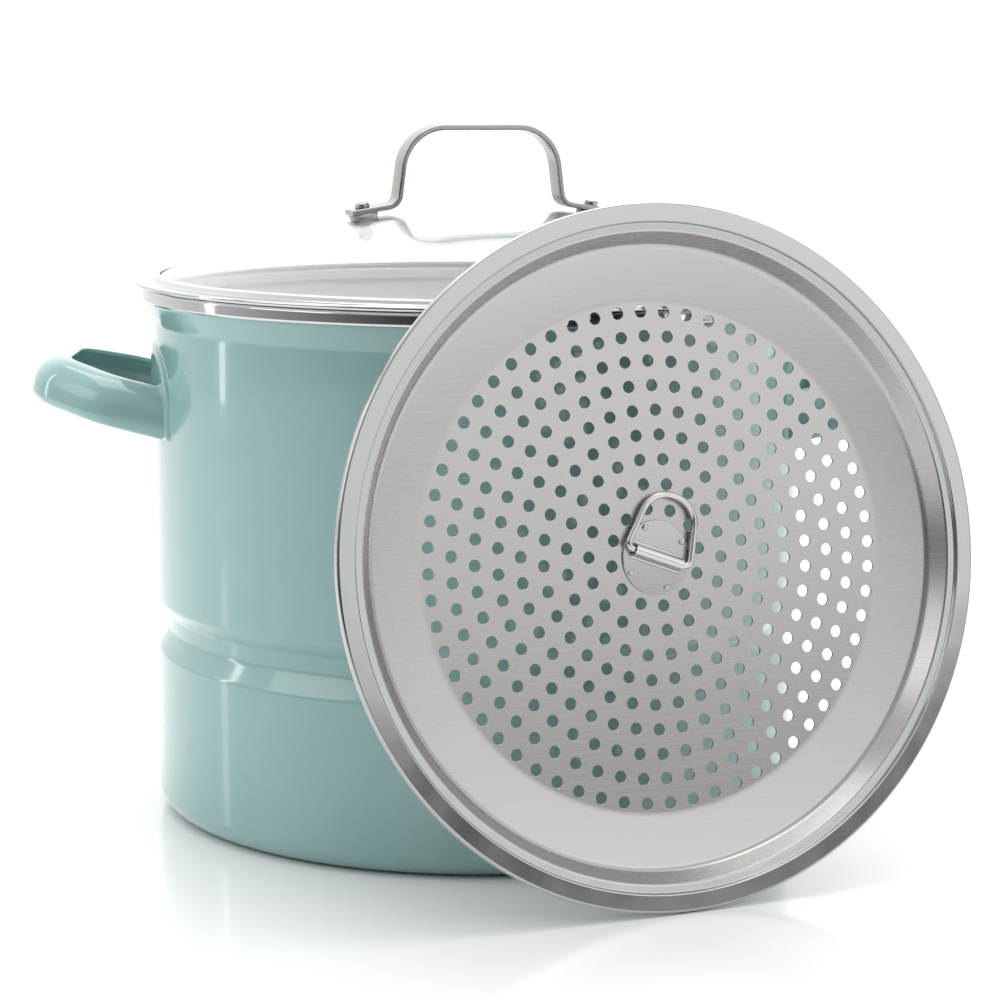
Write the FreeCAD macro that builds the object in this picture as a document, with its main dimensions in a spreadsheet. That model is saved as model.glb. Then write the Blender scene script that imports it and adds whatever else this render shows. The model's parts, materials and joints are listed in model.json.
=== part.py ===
"""Enamelled stock pot with a glass lid and a perforated steamer rack, as a parametric assembly.

Frame: millimetres, +Z up, origin at the centre of the pot's flat base, side handles along X.
The rack leans on the lid's ring, its dished side facing outwards.
"""
import FreeCAD
import Part
import Sketcher
import math
import os

V = FreeCAD.Vector
X_AXIS = V(1, 0, 0)
Y_AXIS = V(0, 1, 0)
Z_AXIS = V(0, 0, 1)

# ------------------------------------------------------------------ driving dimensions (mm, degrees)
SIZES = {
    # pot shell: enamelled sheet steel
    "base_radius": 145.6,
    "body_radius": 146.1,
    "wall": 1.2,
    "base_corner": 10.8,
    "groove_low": 74.0,
    "groove_floor_low": 82.5,
    "groove_floor_high": 90.0,
    "groove_high": 97.0,
    "groove_depth": 5.4,
    "flare_start": 221.5,
    "flare_end": 231.0,
    "lip_radius": 150.2,
    "lip_top": 236.6,
    # stainless trim crimped over the lip
    "trim_radius": 152.1,
    "trim_inner_radius": 147.6,
    "trim_low": 231.5,
    "trim_top": 238.0,
    # side handles: enamelled channel loops on enamelled base plates
    "pad_thickness": 1.8,
    "pad_low": 172.0,
    "pad_shoulder": 190.0,
    "pad_top": 213.0,
    "pad_half_width": 59.0,
    "loop_pivot_x": 140.0,
    "loop_start_x": 128.0,
    "loop_outer_x": 200.5,
    "loop_root_y": 48.5,
    "loop_shoulder_x": 165.0,
    "loop_outer_y": 27.0,
    "loop_height": 21.5,
    "loop_depth": 14.0,
    "loop_sheet": 1.6,
    "loop_root_z": 183.4,
    "loop_rise": 14.0,
    "loop_round_low": 5.0,
    "loop_round_high": 12.8,
    # glass lid
    "glass_top": 273.0,
    "glass_radius": 144.8,
    "glass_sphere": 347.0,
    "glass_thickness": 4.0,
    "ring_radius": 155.2,
    "ring_low": 238.3,
    "ring_top": 240.4,
    "ring_sheet": 0.9,
    "ring_lip_top": 242.9,
    "ring_seat": 236.8,
    "skirt_radius": 145.8,
    "skirt_low": 231.4,
    # lid handle: bent stainless strap, seen side-on in its own XZ plane
    "strap_width": 12.0,
    "strap_sheet": 2.4,
    "strap_top": 309.6,
    "strap_top_half": 34.5,
    "strap_leg_half": 39.0,
    "strap_bend_outer": 19.5,
    "strap_bend_foot": 6.0,
    "foot_radius": 54.0,
    "foot_length": 6.5,
    "foot_yaw": 19.0,
    # fasteners at each foot, stacked along the glass's normal
    "gasket_radius": 6.4,
    "gasket_height": 1.6,
    "glass_sag": 0.1,
    "washer_radius": 5.6,
    "washer_height": 0.9,
    "screw_head_radius": 3.3,
    "screw_head_height": 2.4,
    "screw_radius": 2.0,
    "screw_clearance": 0.1,
    "nut_across": 7.0,
    "nut_height": 3.4,
    "nut_cap_height": 5.4,
    # steamer rack: brushed stainless dish
    "rack_radius": 143.0,
    "rack_sheet": 0.9,
    "plate_radius": 104.5,
    "slope_radius": 126.5,
    "slope_rise": 3.9,
    "step_radius": 131.6,
    "step_rise": 12.0,
    "flange_inner": 135.4,
    "flange_rise": 13.3,
    "rim_turn": 3.4,
    "hole_radius": 2.5,
    "ring_step": 10.0,
    "rack_lean": 9.15,
    "rack_turn": 23.9,
    "rack_side": 4.0,
    "rack_clearance": 0.3,
    # lifter: saddle plate and D-shaped wire ring at the rack's centre
    "saddle_radius": 15.2,
    "saddle_sheet": 0.8,
    "saddle_half": 11.2,
    "wire_radius": 1.4,
    "wire_gap": 0.35,
    "ring_half_width": 15.0,
    "ring_shoulder": 10.6,
    "ring_height": 27.2,
    "ring_corner": 2.6,
    "ring_turn": -20.4,
    "rivet_radius": 1.2,
    "rivet_circle": 13.2,
}
FIRST_RING = 2
LAST_RING = 10
HOLES_PER_RING = 6          # each ring has this many more holes than the one inside it
RIVET_ANGLES = (45, 130, 226, 308)
RING_PHASE = 0.24           # share of a ring's own hole spacing by which the first ring is turned
RING_PHASE_STEP = 0.6       # further share for each ring outside it

doc = FreeCAD.newDocument("StockPot")
sheet = doc.addObject("Spreadsheet::Sheet", "Sizes")
for row, (alias, number) in enumerate(SIZES.items(), start=1):
    sheet.set(f"A{row}", alias)
    sheet.set(f"B{row}", str(number))
    sheet.setAlias(f"B{row}", alias)
doc.recompute()


class Size:
    """A number together with the sheet expression that it comes from."""

    def __init__(self, text, value):
        self.text = text
        self.value = value

    def combine(self, other, sign, result):
        text = other.text if isinstance(other, Size) else str(other)
        return Size(f"({self.text} {sign} {text})", result)

    def __add__(self, other):
        return self.combine(other, "+", self.value + number_of(other))

    def __sub__(self, other):
        return self.combine(other, "-", self.value - number_of(other))

    def __mul__(self, other):
        return self.combine(other, "*", self.value * number_of(other))

    def __truediv__(self, other):
        return self.combine(other, "/", self.value / number_of(other))


def number_of(size):
    return size.value if isinstance(size, Size) else size


def cell(alias):
    return Size(f"Sizes.{alias}", SIZES[alias])


def bind(feature, prop, size):
    """Bind a feature's property to its sheet expression."""
    if isinstance(size, Size):
        feature.setExpression(prop, size.text)
    else:
        setattr(feature, prop, size)


# ------------------------------------------------------------------ sketch and body helpers
def new_body(label, placement=None):
    body = doc.addObject("PartDesign::Body", label)
    body.Label = label
    if placement is not None:
        body.Placement = placement
    return body


def plane_of(body, role):
    return next(item for item in body.Origin.OriginFeatures if item.Role == role)


def new_sketch(body, name, role, offset=0.0):
    sketch = body.newObject("Sketcher::SketchObject", f"{body.Label}_{name}")
    sketch.AttachmentSupport = [(plane_of(body, role), "")]
    sketch.MapMode = "FlatFace"
    if offset:
        sketch.AttachmentOffset = FreeCAD.Placement(V(0, 0, offset), FreeCAD.Rotation())
    return sketch


def place_vertex(sketch, geometry, position, point):
    """Dimension one sketch point from the origin, or put it on an axis where a coordinate is 0."""
    for axis_geometry, kind, size in ((-2, "DistanceX", point[0]), (-1, "DistanceY", point[1])):
        if number_of(size) == 0:
            sketch.addConstraint(Sketcher.Constraint("PointOnObject", geometry, position, axis_geometry))
            continue
        constraint = Sketcher.Constraint(kind, -1, 1, geometry, position, number_of(size))
        index = sketch.addConstraint(constraint)
        if isinstance(size, Size):
            sketch.setExpression(f"Constraints[{index}]", size.text)


def draw_chain(sketch, corners, closed=True):
    """Straight runs between corners; a corner with a radius is rounded by a tangent arc.

    Each corner is (x, y) or (x, y, radius), where each number is a Size or a plain 0.
    """
    count = len(corners)
    places = [V(number_of(c[0]), number_of(c[1]), 0) for c in corners]
    radii = [number_of(c[2]) if len(c) > 2 else 0 for c in corners]
    starts, ends, centres, spans = list(places), list(places), [None] * count, [None] * count
    for i in range(count):
        if not radii[i]:
            continue
        back = (places[i - 1] - places[i]).normalize()
        ahead = (places[(i + 1) % count] - places[i]).normalize()
        half = back.getAngle(ahead) / 2
        reach = radii[i] / math.tan(half)
        ends[i] = places[i] + back * reach
        starts[i] = places[i] + ahead * reach
        centres[i] = places[i] + (back + ahead).normalize() * (radii[i] / math.sin(half))
        low, high = [math.atan2(p.y - centres[i].y, p.x - centres[i].x) for p in (ends[i], starts[i])]
        turns_left = back.cross(ahead).z < 0
        spans[i] = (low, high) if turns_left else (high, low)
    runs = count if closed else count - 1
    lines = []
    for i in range(runs):
        segment = Part.LineSegment(starts[i], ends[(i + 1) % count])
        lines.append(sketch.addGeometry(segment, False))
    for i in range(count):
        before = lines[i - 1] if closed or i > 0 else None
        after = lines[i] if i < runs else None
        if not radii[i]:
            if before is not None and after is not None:
                sketch.addConstraint(Sketcher.Constraint("Coincident", before, 2, after, 1))
            place_vertex(sketch, *((after, 1) if after is not None else (before, 2)), corners[i][:2])
            continue
        low, high = spans[i]
        if high < low:
            high += 2 * math.pi
        circle = Part.Circle(centres[i], Z_AXIS, radii[i])
        arc = sketch.addGeometry(Part.ArcOfCircle(circle, low, high), False)
        first, last = (1, 2) if spans[i][0] == math.atan2(
            ends[i].y - centres[i].y, ends[i].x - centres[i].x) else (2, 1)
        sketch.addConstraint(Sketcher.Constraint("Tangent", before, 2, arc, first))
        sketch.addConstraint(Sketcher.Constraint("Tangent", arc, last, after, 1))
        index = sketch.addConstraint(Sketcher.Constraint("Radius", arc, radii[i]))
        if isinstance(corners[i][2], Size):
            sketch.setExpression(f"Constraints[{index}]", corners[i][2].text)
        corner = sketch.addGeometry(Part.Point(places[i]), True)
        sketch.addConstraint(Sketcher.Constraint("PointOnObject", corner, 1, before))
        sketch.addConstraint(Sketcher.Constraint("PointOnObject", corner, 1, after))
        place_vertex(sketch, corner, 1, corners[i][:2])
    return sketch


def draw_circle(sketch, centre, radius):
    circle = Part.Circle(V(number_of(centre[0]), number_of(centre[1]), 0), Z_AXIS, number_of(radius))
    index = sketch.addGeometry(circle, False)
    place_vertex(sketch, index, 3, centre)
    rule = sketch.addConstraint(Sketcher.Constraint("Radius", index, number_of(radius)))
    if isinstance(radius, Size):
        sketch.setExpression(f"Constraints[{rule}]", radius.text)


def revolve(body, corners, name="profile"):
    """Turn a closed outline, given as (radius, height) corners, round the body's Z axis."""
    sketch = new_sketch(body, name, "XZ_Plane")
    draw_chain(sketch, corners)
    feature = body.newObject("PartDesign::Revolution", f"{body.Label}_{name}_turned")
    feature.Profile = sketch
    feature.ReferenceAxis = (sketch, ["V_Axis"])
    feature.Angle = 360
    return feature


def pad(body, sketch, length, symmetric=False):
    feature = body.newObject("PartDesign::Pad", f"{sketch.Label}_pad")
    feature.Profile = sketch
    bind(feature, "Length", length)
    feature.Midplane = symmetric
    return feature


def pocket(body, sketch, length, symmetric=True):
    """Cut a sketch out of the body, on both sides of its plane; the volume has to fall."""
    doc.recompute()
    before = body.Shape.Volume
    feature = body.newObject("PartDesign::Pocket", f"{sketch.Label}_pocket")
    feature.Profile = sketch
    bind(feature, "Length", length)
    feature.Midplane = symmetric
    doc.recompute()
    if not body.Shape.Volume < before - 0.01:
        raise RuntimeError(f"{sketch.Label} cuts nothing")
    return feature


def pipe(body, path_corners, path_role, section, name="pipe"):
    """Sweep a section sketch along an open chain of straight runs and tangent arcs."""
    spine = new_sketch(body, f"{name}_path", path_role)
    draw_chain(spine, path_corners, closed=False)
    feature = body.newObject("PartDesign::AdditivePipe", f"{body.Label}_{name}")
    feature.Profile = section
    feature.Spine = spine
    feature.Mode = "Standard"
    return feature


def mirror(body, feature, role):
    """Add the mirror image of a feature about one of the body's origin planes."""
    doc.recompute()
    copy = body.newObject("PartDesign::Mirrored", f"{feature.Label}_mirrored")
    copy.Originals = [feature]
    copy.MirrorPlane = (plane_of(body, role), [""])
    body.Tip = copy
    return copy


# ------------------------------------------------------------------ pot: shell and rim trim
def build_pot_shell():
    body = new_body("pot_shell")
    wall = cell("wall")
    low_r, high_r, lip_r = cell("base_radius"), cell("body_radius"), cell("lip_radius")
    groove_r = high_r - cell("groove_depth")
    corner = cell("base_corner")
    outside = [
        (0, 0),
        (low_r, 0, corner),
        (low_r, cell("groove_low"), cell("wall") * 4),
        (groove_r, cell("groove_floor_low"), cell("wall") * 4),
        (groove_r, cell("groove_floor_high"), cell("wall") * 2.5),
        (high_r, cell("groove_high"), cell("wall") * 2.5),
        (high_r, cell("flare_start"), cell("wall") * 5),
        (lip_r, cell("flare_end"), cell("wall") * 3),
        (lip_r, cell("lip_top")),
    ]
    inside = [
        (lip_r - wall, cell("lip_top")),
        (lip_r - wall, cell("flare_end"), cell("wall") * 2.5),
        (high_r - wall, cell("flare_start") + wall * 0.4, cell("wall") * 5),
        (high_r - wall, cell("groove_high") + wall * 0.4, cell("wall") * 2),
        (groove_r - wall, cell("groove_floor_high") + wall * 0.4, cell("wall") * 3),
        (groove_r - wall, cell("groove_floor_low") - wall * 0.4, cell("wall") * 4.5),
        (low_r - wall, cell("groove_low") - wall * 0.4, cell("wall") * 3.5),
        (low_r - wall, wall, corner - wall),
        (0, wall),
    ]
    revolve(body, outside + inside)
    return body


def build_rim_trim():
    """Stainless channel that wraps the lip from outside, over the top and down inside."""
    body = new_body("rim_trim")
    lip_r, wall = cell("lip_radius"), cell("wall")
    outer, inner = cell("trim_radius"), cell("trim_inner_radius")
    low, top, lip = cell("trim_low"), cell("trim_top"), cell("lip_top")
    revolve(body, [
        (lip_r, low),
        (outer, low, wall * 0.9),
        (outer, top, wall * 1.4),
        (inner, top, wall * 1.0),
        (inner, low + wall * 1.5),
        (lip_r - wall, low + wall * 1.5),
        (lip_r - wall, lip),
        (lip_r, lip),
    ])
    return body


# ------------------------------------------------------------------ pot: side handles
def build_handle_pad(label, side):
    """Base plate that hugs the body under one handle: straight foot, arched top, rounded edge."""
    turn = FreeCAD.Placement(V(0, 0, 0), FreeCAD.Rotation(Z_AXIS, 0 if side > 0 else 180))
    low, shoulder, top = cell("pad_low"), cell("pad_shoulder"), cell("pad_top")
    half = cell("pad_half_width")
    inner, thick = cell("body_radius"), cell("pad_thickness")
    body = new_body(label, turn)
    revolve(body, [
        (inner, low),
        (inner + thick * 0.5, low),
        (inner + thick, low + thick * 0.8, thick * 0.5),
        (inner + thick, top - thick * 3, thick * 2),
        (inner + thick * 0.3, top),
        (inner, top),
    ])
    doc.recompute()
    outline = new_sketch(body, "outline", "YZ_Plane")
    arch = half * 0.72
    draw_chain(outline, [
        (half * -1, low - 5.0),
        (half, low - 5.0),
        (half, shoulder, thick * 6),
        (arch, top + 1.0, thick * 8),
        (arch * -1, top + 1.0, thick * 8),
        (half * -1, shoulder, thick * 6),
    ])
    before = body.Shape.Volume
    trim_to_outline(body, outline)
    if not 0 < body.Shape.Volume < before:
        raise RuntimeError(f"{label}: the outline leaves nothing")
    return body


def trim_to_outline(body, outline):
    """Cut away all of the turned ring that lies outside the outline, and its far half."""
    side = cell("pad_half_width") + 100.0
    low, top = cell("pad_low") - 20.0, cell("pad_top") + 20.0
    draw_chain(outline, [(side * -1, low), (side, low), (side, top), (side * -1, top)])
    cut = body.newObject("PartDesign::Pocket", f"{body.Label}_trimmed")
    cut.Profile = outline
    cut.Length = 2 * SIZES["trim_radius"]
    cut.Midplane = True
    doc.recompute()
    far = new_sketch(body, "far_half", "XY_Plane")
    reach = cell("trim_radius") * 1.2
    draw_chain(far, [(reach * -1, reach * -1), (0, reach * -1), (0, reach), (reach * -1, reach)])
    half_cut = body.newObject("PartDesign::Pocket", f"{body.Label}_halved")
    half_cut.Profile = far
    half_cut.Length = 4 * SIZES["pad_top"]
    half_cut.Midplane = True
    doc.recompute()


def build_handle_loop(label, side):
    """Half-round channel bent into a loop, open towards the pot, tilted up towards its outer end."""
    tilt = FreeCAD.Rotation(Y_AXIS, -SIZES["loop_rise"])
    turn = FreeCAD.Rotation(Z_AXIS, 0 if side > 0 else 180)
    raised = FreeCAD.Placement(V(SIZES["loop_pivot_x"], 0, SIZES["loop_root_z"]), tilt)
    body = new_body(f"{label}_blank", FreeCAD.Placement(V(0, 0, 0), turn) * raised)
    outer_x = cell("loop_outer_x") - cell("loop_pivot_x")
    shoulder_x = cell("loop_shoulder_x") - cell("loop_pivot_x")
    start_x = cell("loop_start_x") - cell("loop_pivot_x")
    half, depth, metal = cell("loop_height") / 2, cell("loop_depth"), cell("loop_sheet")
    low, high = cell("loop_round_low"), cell("loop_round_high")
    section = new_sketch(body, "section", "XZ_Plane")
    draw_chain(section, [
        (outer_x - depth, half * -1),
        (outer_x, half * -1, low),
        (outer_x, half, high),
        (outer_x - depth, half),
        (outer_x - depth, half - metal),
        (outer_x - metal, half - metal, high - metal),
        (outer_x - metal, half * -1 + metal, low - metal),
        (outer_x - depth, half * -1 + metal),
    ])
    path = [
        (outer_x - depth / 2, 0),
        (outer_x - depth / 2, cell("loop_outer_y"), cell("loop_outer_y") * 0.85),
        (shoulder_x, cell("loop_root_y"), cell("loop_outer_y")),
        (start_x, cell("loop_root_y")),
    ]
    half_loop = pipe(body, path, "XY_Plane", section)
    mirror(body, half_loop, "XZ_Plane")
    return seated_loop(label, body)


def seated_loop(label, blank):
    """The loop with its ends cut to sit on the base plate."""
    seat = doc.addObject("Part::Cylinder", f"{label}_seat")
    seat.setExpression("Radius", "Sizes.body_radius + Sizes.pad_thickness")
    seat.setExpression("Height", "Sizes.trim_top")
    cut = doc.addObject("Part::Cut", f"{label}_seated")
    cut.Base = blank
    cut.Tool = seat
    return cut


# ------------------------------------------------------------------ lid
SPHERE_CENTRE = SIZES["glass_top"] - SIZES["glass_sphere"]
FOOT_ANGLE = math.degrees(math.asin(SIZES["foot_radius"] / SIZES["glass_sphere"]))


def foot_placement(side, height=0.0):
    """On the glass at one foot: Z along the glass's normal, raised by height from its top face."""
    yaw = FreeCAD.Rotation(Z_AXIS, SIZES["foot_yaw"])
    lean = FreeCAD.Rotation(Y_AXIS, side * FOOT_ANGLE)
    rotation = yaw * lean
    reach = rotation.multVec(Z_AXIS) * (SIZES["glass_sphere"] + height)
    return FreeCAD.Placement(V(0, 0, SPHERE_CENTRE) + reach, rotation)


def build_lid_glass():
    """Shallow dome of constant thickness, drilled for the two handle screws."""
    body = new_body("lid_glass", FreeCAD.Placement(V(0, 0, SPHERE_CENTRE), FreeCAD.Rotation()))
    sketch = new_sketch(body, "dome", "XZ_Plane")
    outer, edge = SIZES["glass_sphere"], SIZES["glass_radius"]
    inner = outer - SIZES["glass_thickness"]
    upright = math.pi / 2
    arcs = []
    for radius in (outer, inner):
        circle = Part.Circle(V(0, 0, 0), Z_AXIS, radius)
        arcs.append(sketch.addGeometry(Part.ArcOfCircle(circle, math.acos(edge / radius), upright), False))
        sketch.addConstraint(Sketcher.Constraint("Coincident", arcs[-1], 3, -1, 1))
        sketch.addConstraint(Sketcher.Constraint("PointOnObject", arcs[-1], 2, -2))
    for arc, alias, less in ((arcs[0], "Sizes.glass_sphere", outer),
                             (arcs[1], "Sizes.glass_sphere - Sizes.glass_thickness", inner)):
        rule = sketch.addConstraint(Sketcher.Constraint("Radius", arc, less))
        sketch.setExpression(f"Constraints[{rule}]", alias)
    rim = Part.LineSegment(V(edge, math.sqrt(outer ** 2 - edge ** 2), 0),
                           V(edge, math.sqrt(inner ** 2 - edge ** 2), 0))
    axis = Part.LineSegment(V(0, inner, 0), V(0, outer, 0))
    rim_line = sketch.addGeometry(rim, False)
    axis_line = sketch.addGeometry(axis, False)
    sketch.addConstraint(Sketcher.Constraint("Coincident", rim_line, 1, arcs[0], 1))
    sketch.addConstraint(Sketcher.Constraint("Coincident", rim_line, 2, arcs[1], 1))
    sketch.addConstraint(Sketcher.Constraint("Vertical", rim_line))
    sketch.addConstraint(Sketcher.Constraint("Coincident", axis_line, 1, arcs[1], 2))
    sketch.addConstraint(Sketcher.Constraint("Coincident", axis_line, 2, arcs[0], 2))
    rule = sketch.addConstraint(Sketcher.Constraint("DistanceX", -1, 1, rim_line, 1, edge))
    sketch.setExpression(f"Constraints[{rule}]", "Sizes.glass_radius")
    dome = body.newObject("PartDesign::Revolution", "lid_glass_turned")
    dome.Profile = sketch
    dome.ReferenceAxis = (sketch, ["V_Axis"])
    dome.Angle = 360
    doc.recompute()
    return body


def drilled_glass(glass):
    """The dome with both screw holes, each square to the glass."""
    drills = []
    for side in (-1, 1):
        drill = doc.addObject("Part::Cylinder", f"glass_drill_{'left' if side < 0 else 'right'}")
        drill.setExpression("Radius", "Sizes.screw_radius + Sizes.screw_clearance")
        drill.Height = 3 * SIZES["glass_thickness"]
        drill.Placement = foot_placement(side, -2 * SIZES["glass_thickness"])
        drills.append(drill)
    both = doc.addObject("Part::MultiFuse", "glass_drills")
    both.Shapes = drills
    cut = doc.addObject("Part::Cut", "lid_glass_drilled")
    cut.Base = glass
    cut.Tool = both
    return cut


def build_lid_ring():
    """Rolled stainless ring: skirt that locates the lid, channel round the glass edge, thick brim."""
    body = new_body("lid_ring")
    metal, skirt, edge = cell("ring_sheet"), cell("skirt_radius"), cell("ring_radius")
    skirt_low, brim_low, brim_top = cell("skirt_low"), cell("ring_low"), cell("ring_top")
    seat, lip = cell("ring_seat"), cell("ring_lip_top")
    revolve(body, [
        (skirt - metal, skirt_low),
        (skirt, skirt_low),
        (skirt, brim_low),
        (edge, brim_low, metal),
        (edge, brim_top, metal),
        (skirt + metal * 1.8, brim_top, metal * 0.8),
        (skirt + metal * 0.5, lip - metal * 0.7, metal * 0.6),
        (skirt - metal * 2.7, lip),
        (skirt - metal * 2.7, lip - metal * 0.83),
        (skirt - metal, lip - metal * 1.5),
        (skirt - metal, seat),
        (skirt - metal * 3.6, seat),
        (skirt - metal * 3.6, seat - metal),
        (skirt - metal, seat - metal),
    ])
    return body


def build_lid_handle():
    """Bent strap: level grip, rounded shoulders, legs that lean in, feet lying along the glass."""
    body = new_body("lid_handle", FreeCAD.Placement(V(0, 0, 0), FreeCAD.Rotation(Z_AXIS, SIZES["foot_yaw"])))
    section = new_sketch(body, "section", "YZ_Plane")
    top, metal, width = cell("strap_top"), cell("strap_sheet"), cell("strap_width")
    draw_chain(section, [
        (width / -2, top - metal),
        (width / 2, top - metal),
        (width / 2, top),
        (width / -2, top),
    ])
    stand = SIZES["glass_sphere"] + SIZES["gasket_height"] + SIZES["strap_sheet"] / 2
    lean = math.radians(FOOT_ANGLE)
    screw_x, screw_z = stand * math.sin(lean), SPHERE_CENTRE + stand * math.cos(lean)
    reach_in = screw_x - SIZES["strap_leg_half"]
    path = [
        (0, top - metal / 2),
        (cell("strap_top_half"), top - metal / 2, cell("strap_bend_outer")),
        (cell("strap_leg_half"), screw_z + reach_in * math.tan(lean), cell("strap_bend_foot")),
        (screw_x + SIZES["foot_length"] * math.cos(lean), screw_z - SIZES["foot_length"] * math.sin(lean)),
    ]
    half = pipe(body, path, "XZ_Plane", section)
    mirror(body, half, "YZ_Plane")
    doc.recompute()
    return body


def drilled_handle(handle):
    drills = []
    for side in (-1, 1):
        drill = doc.addObject("Part::Cylinder", f"strap_drill_{'left' if side < 0 else 'right'}")
        drill.setExpression("Radius", "Sizes.screw_radius + Sizes.screw_clearance")
        drill.Height = 2 * SIZES["strap_sheet"]
        drill.Placement = foot_placement(side, SIZES["gasket_height"] - SIZES["strap_sheet"] / 2)
        drills.append(drill)
    both = doc.addObject("Part::MultiFuse", "strap_drills")
    both.Shapes = drills
    cut = doc.addObject("Part::Cut", "lid_handle_drilled")
    cut.Base = handle
    cut.Tool = both
    return cut


def build_disc(label, side, height, radius, thickness):
    """Flat ring round a handle screw, from height up along the glass's normal."""
    body = new_body(label, foot_placement(side, height))
    bore = cell("screw_radius") + cell("screw_clearance")
    revolve(body, [
        (bore, 0),
        (radius, 0, thickness * 0.3),
        (radius, thickness, thickness * 0.3),
        (bore, thickness),
    ])
    return body


def build_screw(label, side):
    """Low domed head on the strap with a plain shank through the whole stack."""
    stack_top = SIZES["gasket_height"] + SIZES["strap_sheet"]
    body = new_body(label, foot_placement(side, stack_top))
    below = SIZES["gasket_height"] + SIZES["strap_sheet"] + SIZES["glass_thickness"] + \
        SIZES["glass_sag"] + SIZES["gasket_height"] + SIZES["washer_height"] + SIZES["nut_height"]
    head, rise, shank = cell("screw_head_radius"), cell("screw_head_height"), cell("screw_radius")
    revolve(body, [
        (0, -below),
        (shank, -below),
        (shank, 0),
        (head, 0),
        (head, rise, rise * 0.6),
        (0, rise),
    ])
    return body


def build_cap_nut(label, side):
    """Hexagonal cap nut under the glass, hollow for the end of the screw."""
    across, height, cap = cell("nut_across"), cell("nut_height"), cell("nut_cap_height")
    base = -(SIZES["glass_thickness"] + SIZES["glass_sag"] + SIZES["gasket_height"] + SIZES["washer_height"])
    flip = FreeCAD.Placement(V(0, 0, 0), FreeCAD.Rotation(X_AXIS, 180))
    body = new_body(label, foot_placement(side, base) * flip)
    hexagon = new_sketch(body, "hexagon", "XY_Plane")
    reach = SIZES["nut_across"] / math.sqrt(3)
    corners = []
    for step in range(6):
        angle = math.radians(60 * step + 30)
        corners.append((across * (reach * math.cos(angle) / SIZES["nut_across"]),
                        across * (reach * math.sin(angle) / SIZES["nut_across"])))
    draw_chain(hexagon, [(0 if abs(c[0].value) < 1e-9 else c[0], c[1]) for c in corners])
    pad(body, hexagon, height)
    bore = cell("screw_radius") + cell("screw_clearance") / 2
    crown = across / 2 - 0.4
    revolve(body, [
        (0, height + 0.4),
        (bore, height + 0.4),
        (bore, height - 0.2),
        (crown, height - 0.2),
        (crown, cap, crown * 0.8),
        (0, cap),
    ], "cap")
    hollow = new_sketch(body, "hollow", "XY_Plane")
    draw_circle(hollow, (0, 0), bore)
    pocket(body, hollow, (height + 0.2) * 2)
    return body


# ------------------------------------------------------------------ steamer rack
def rack_placement():
    """The leaning rack: lowest edge on the floor, back of the plate just clear of the lid ring."""
    lean, turn = math.radians(SIZES["rack_lean"]), math.radians(SIZES["rack_turn"])
    rotation = FreeCAD.Rotation(Z_AXIS, SIZES["rack_turn"]) * FreeCAD.Rotation(X_AXIS, 90 - SIZES["rack_lean"])
    low_edge = SIZES["flange_rise"] + SIZES["rack_sheet"] - SIZES["rim_turn"]
    centre_z = SIZES["rack_radius"] * math.cos(lean) - low_edge * math.sin(lean)
    lid_edge_top = SIZES["ring_top"]
    support = SIZES["ring_radius"] * math.cos(lean) + lid_edge_top * math.sin(lean) + SIZES["rack_clearance"]
    ahead = (support - centre_z * math.sin(lean)) / math.cos(lean)
    out = V(math.sin(turn), -math.cos(turn), 0)
    aside = V(math.cos(turn), math.sin(turn), 0)
    return FreeCAD.Placement(out * ahead + aside * SIZES["rack_side"] + V(0, 0, centre_z), rotation)


def build_rack_plate(placement):
    """Dished sheet: flat perforated centre, sloped shoulder, upright wall, step, flange, turned rim."""
    body = new_body("rack_plate", placement)
    metal = cell("rack_sheet")
    plate, slope, step = cell("plate_radius"), cell("slope_radius"), cell("step_radius")
    flange, edge = cell("flange_inner"), cell("rack_radius")
    rise1, rise2, rise3 = cell("slope_rise"), cell("step_rise"), cell("flange_rise")
    revolve(body, [
        (0, 0),
        (plate, 0, metal * 14),
        (slope + metal * 0.8, rise1 - metal * 0.2, metal * 3),
        (step + metal, rise2 - metal * 0.5, metal),
        (flange + metal * 0.5, rise2 - metal * 0.1, metal * 0.5),
        (flange + metal, rise3, metal * 0.5),
        (edge - metal, rise3, metal * 0.5),
        (edge - metal, rise3 + metal - cell("rim_turn")),
        (edge, rise3 + metal - cell("rim_turn")),
        (edge, rise3 + metal, metal * 1.2),
        (flange, rise3 + metal, metal * 0.8),
        (flange - metal * 0.6, rise2 + metal * 0.7, metal * 0.5),
        (step, rise2 + metal * 0.5, metal * 1.5),
        (slope, rise1 + metal * 0.8, metal * 4),
        (plate, metal, metal * 13),
        (0, metal),
    ])
    for ring in range(FIRST_RING, LAST_RING + 1):
        count = HOLES_PER_RING * ring
        phase = (RING_PHASE + RING_PHASE_STEP * (ring - FIRST_RING)) % 1.0
        angle = math.radians(360.0 / count * phase)
        hole = new_sketch(body, f"hole_ring_{ring}", "XY_Plane")
        radius = cell("ring_step") * ring
        draw_circle(hole, (radius * math.cos(angle), radius * math.sin(angle)), cell("hole_radius"))
        cut = pocket(body, hole, metal * 4)
        pattern = body.newObject("PartDesign::PolarPattern", f"rack_hole_ring_{ring}")
        pattern.Originals = [cut]
        pattern.Axis = (hole, ["N_Axis"])
        pattern.Angle = 360
        pattern.Occurrences = count
        body.Tip = pattern
        doc.recompute()
    return body


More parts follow.
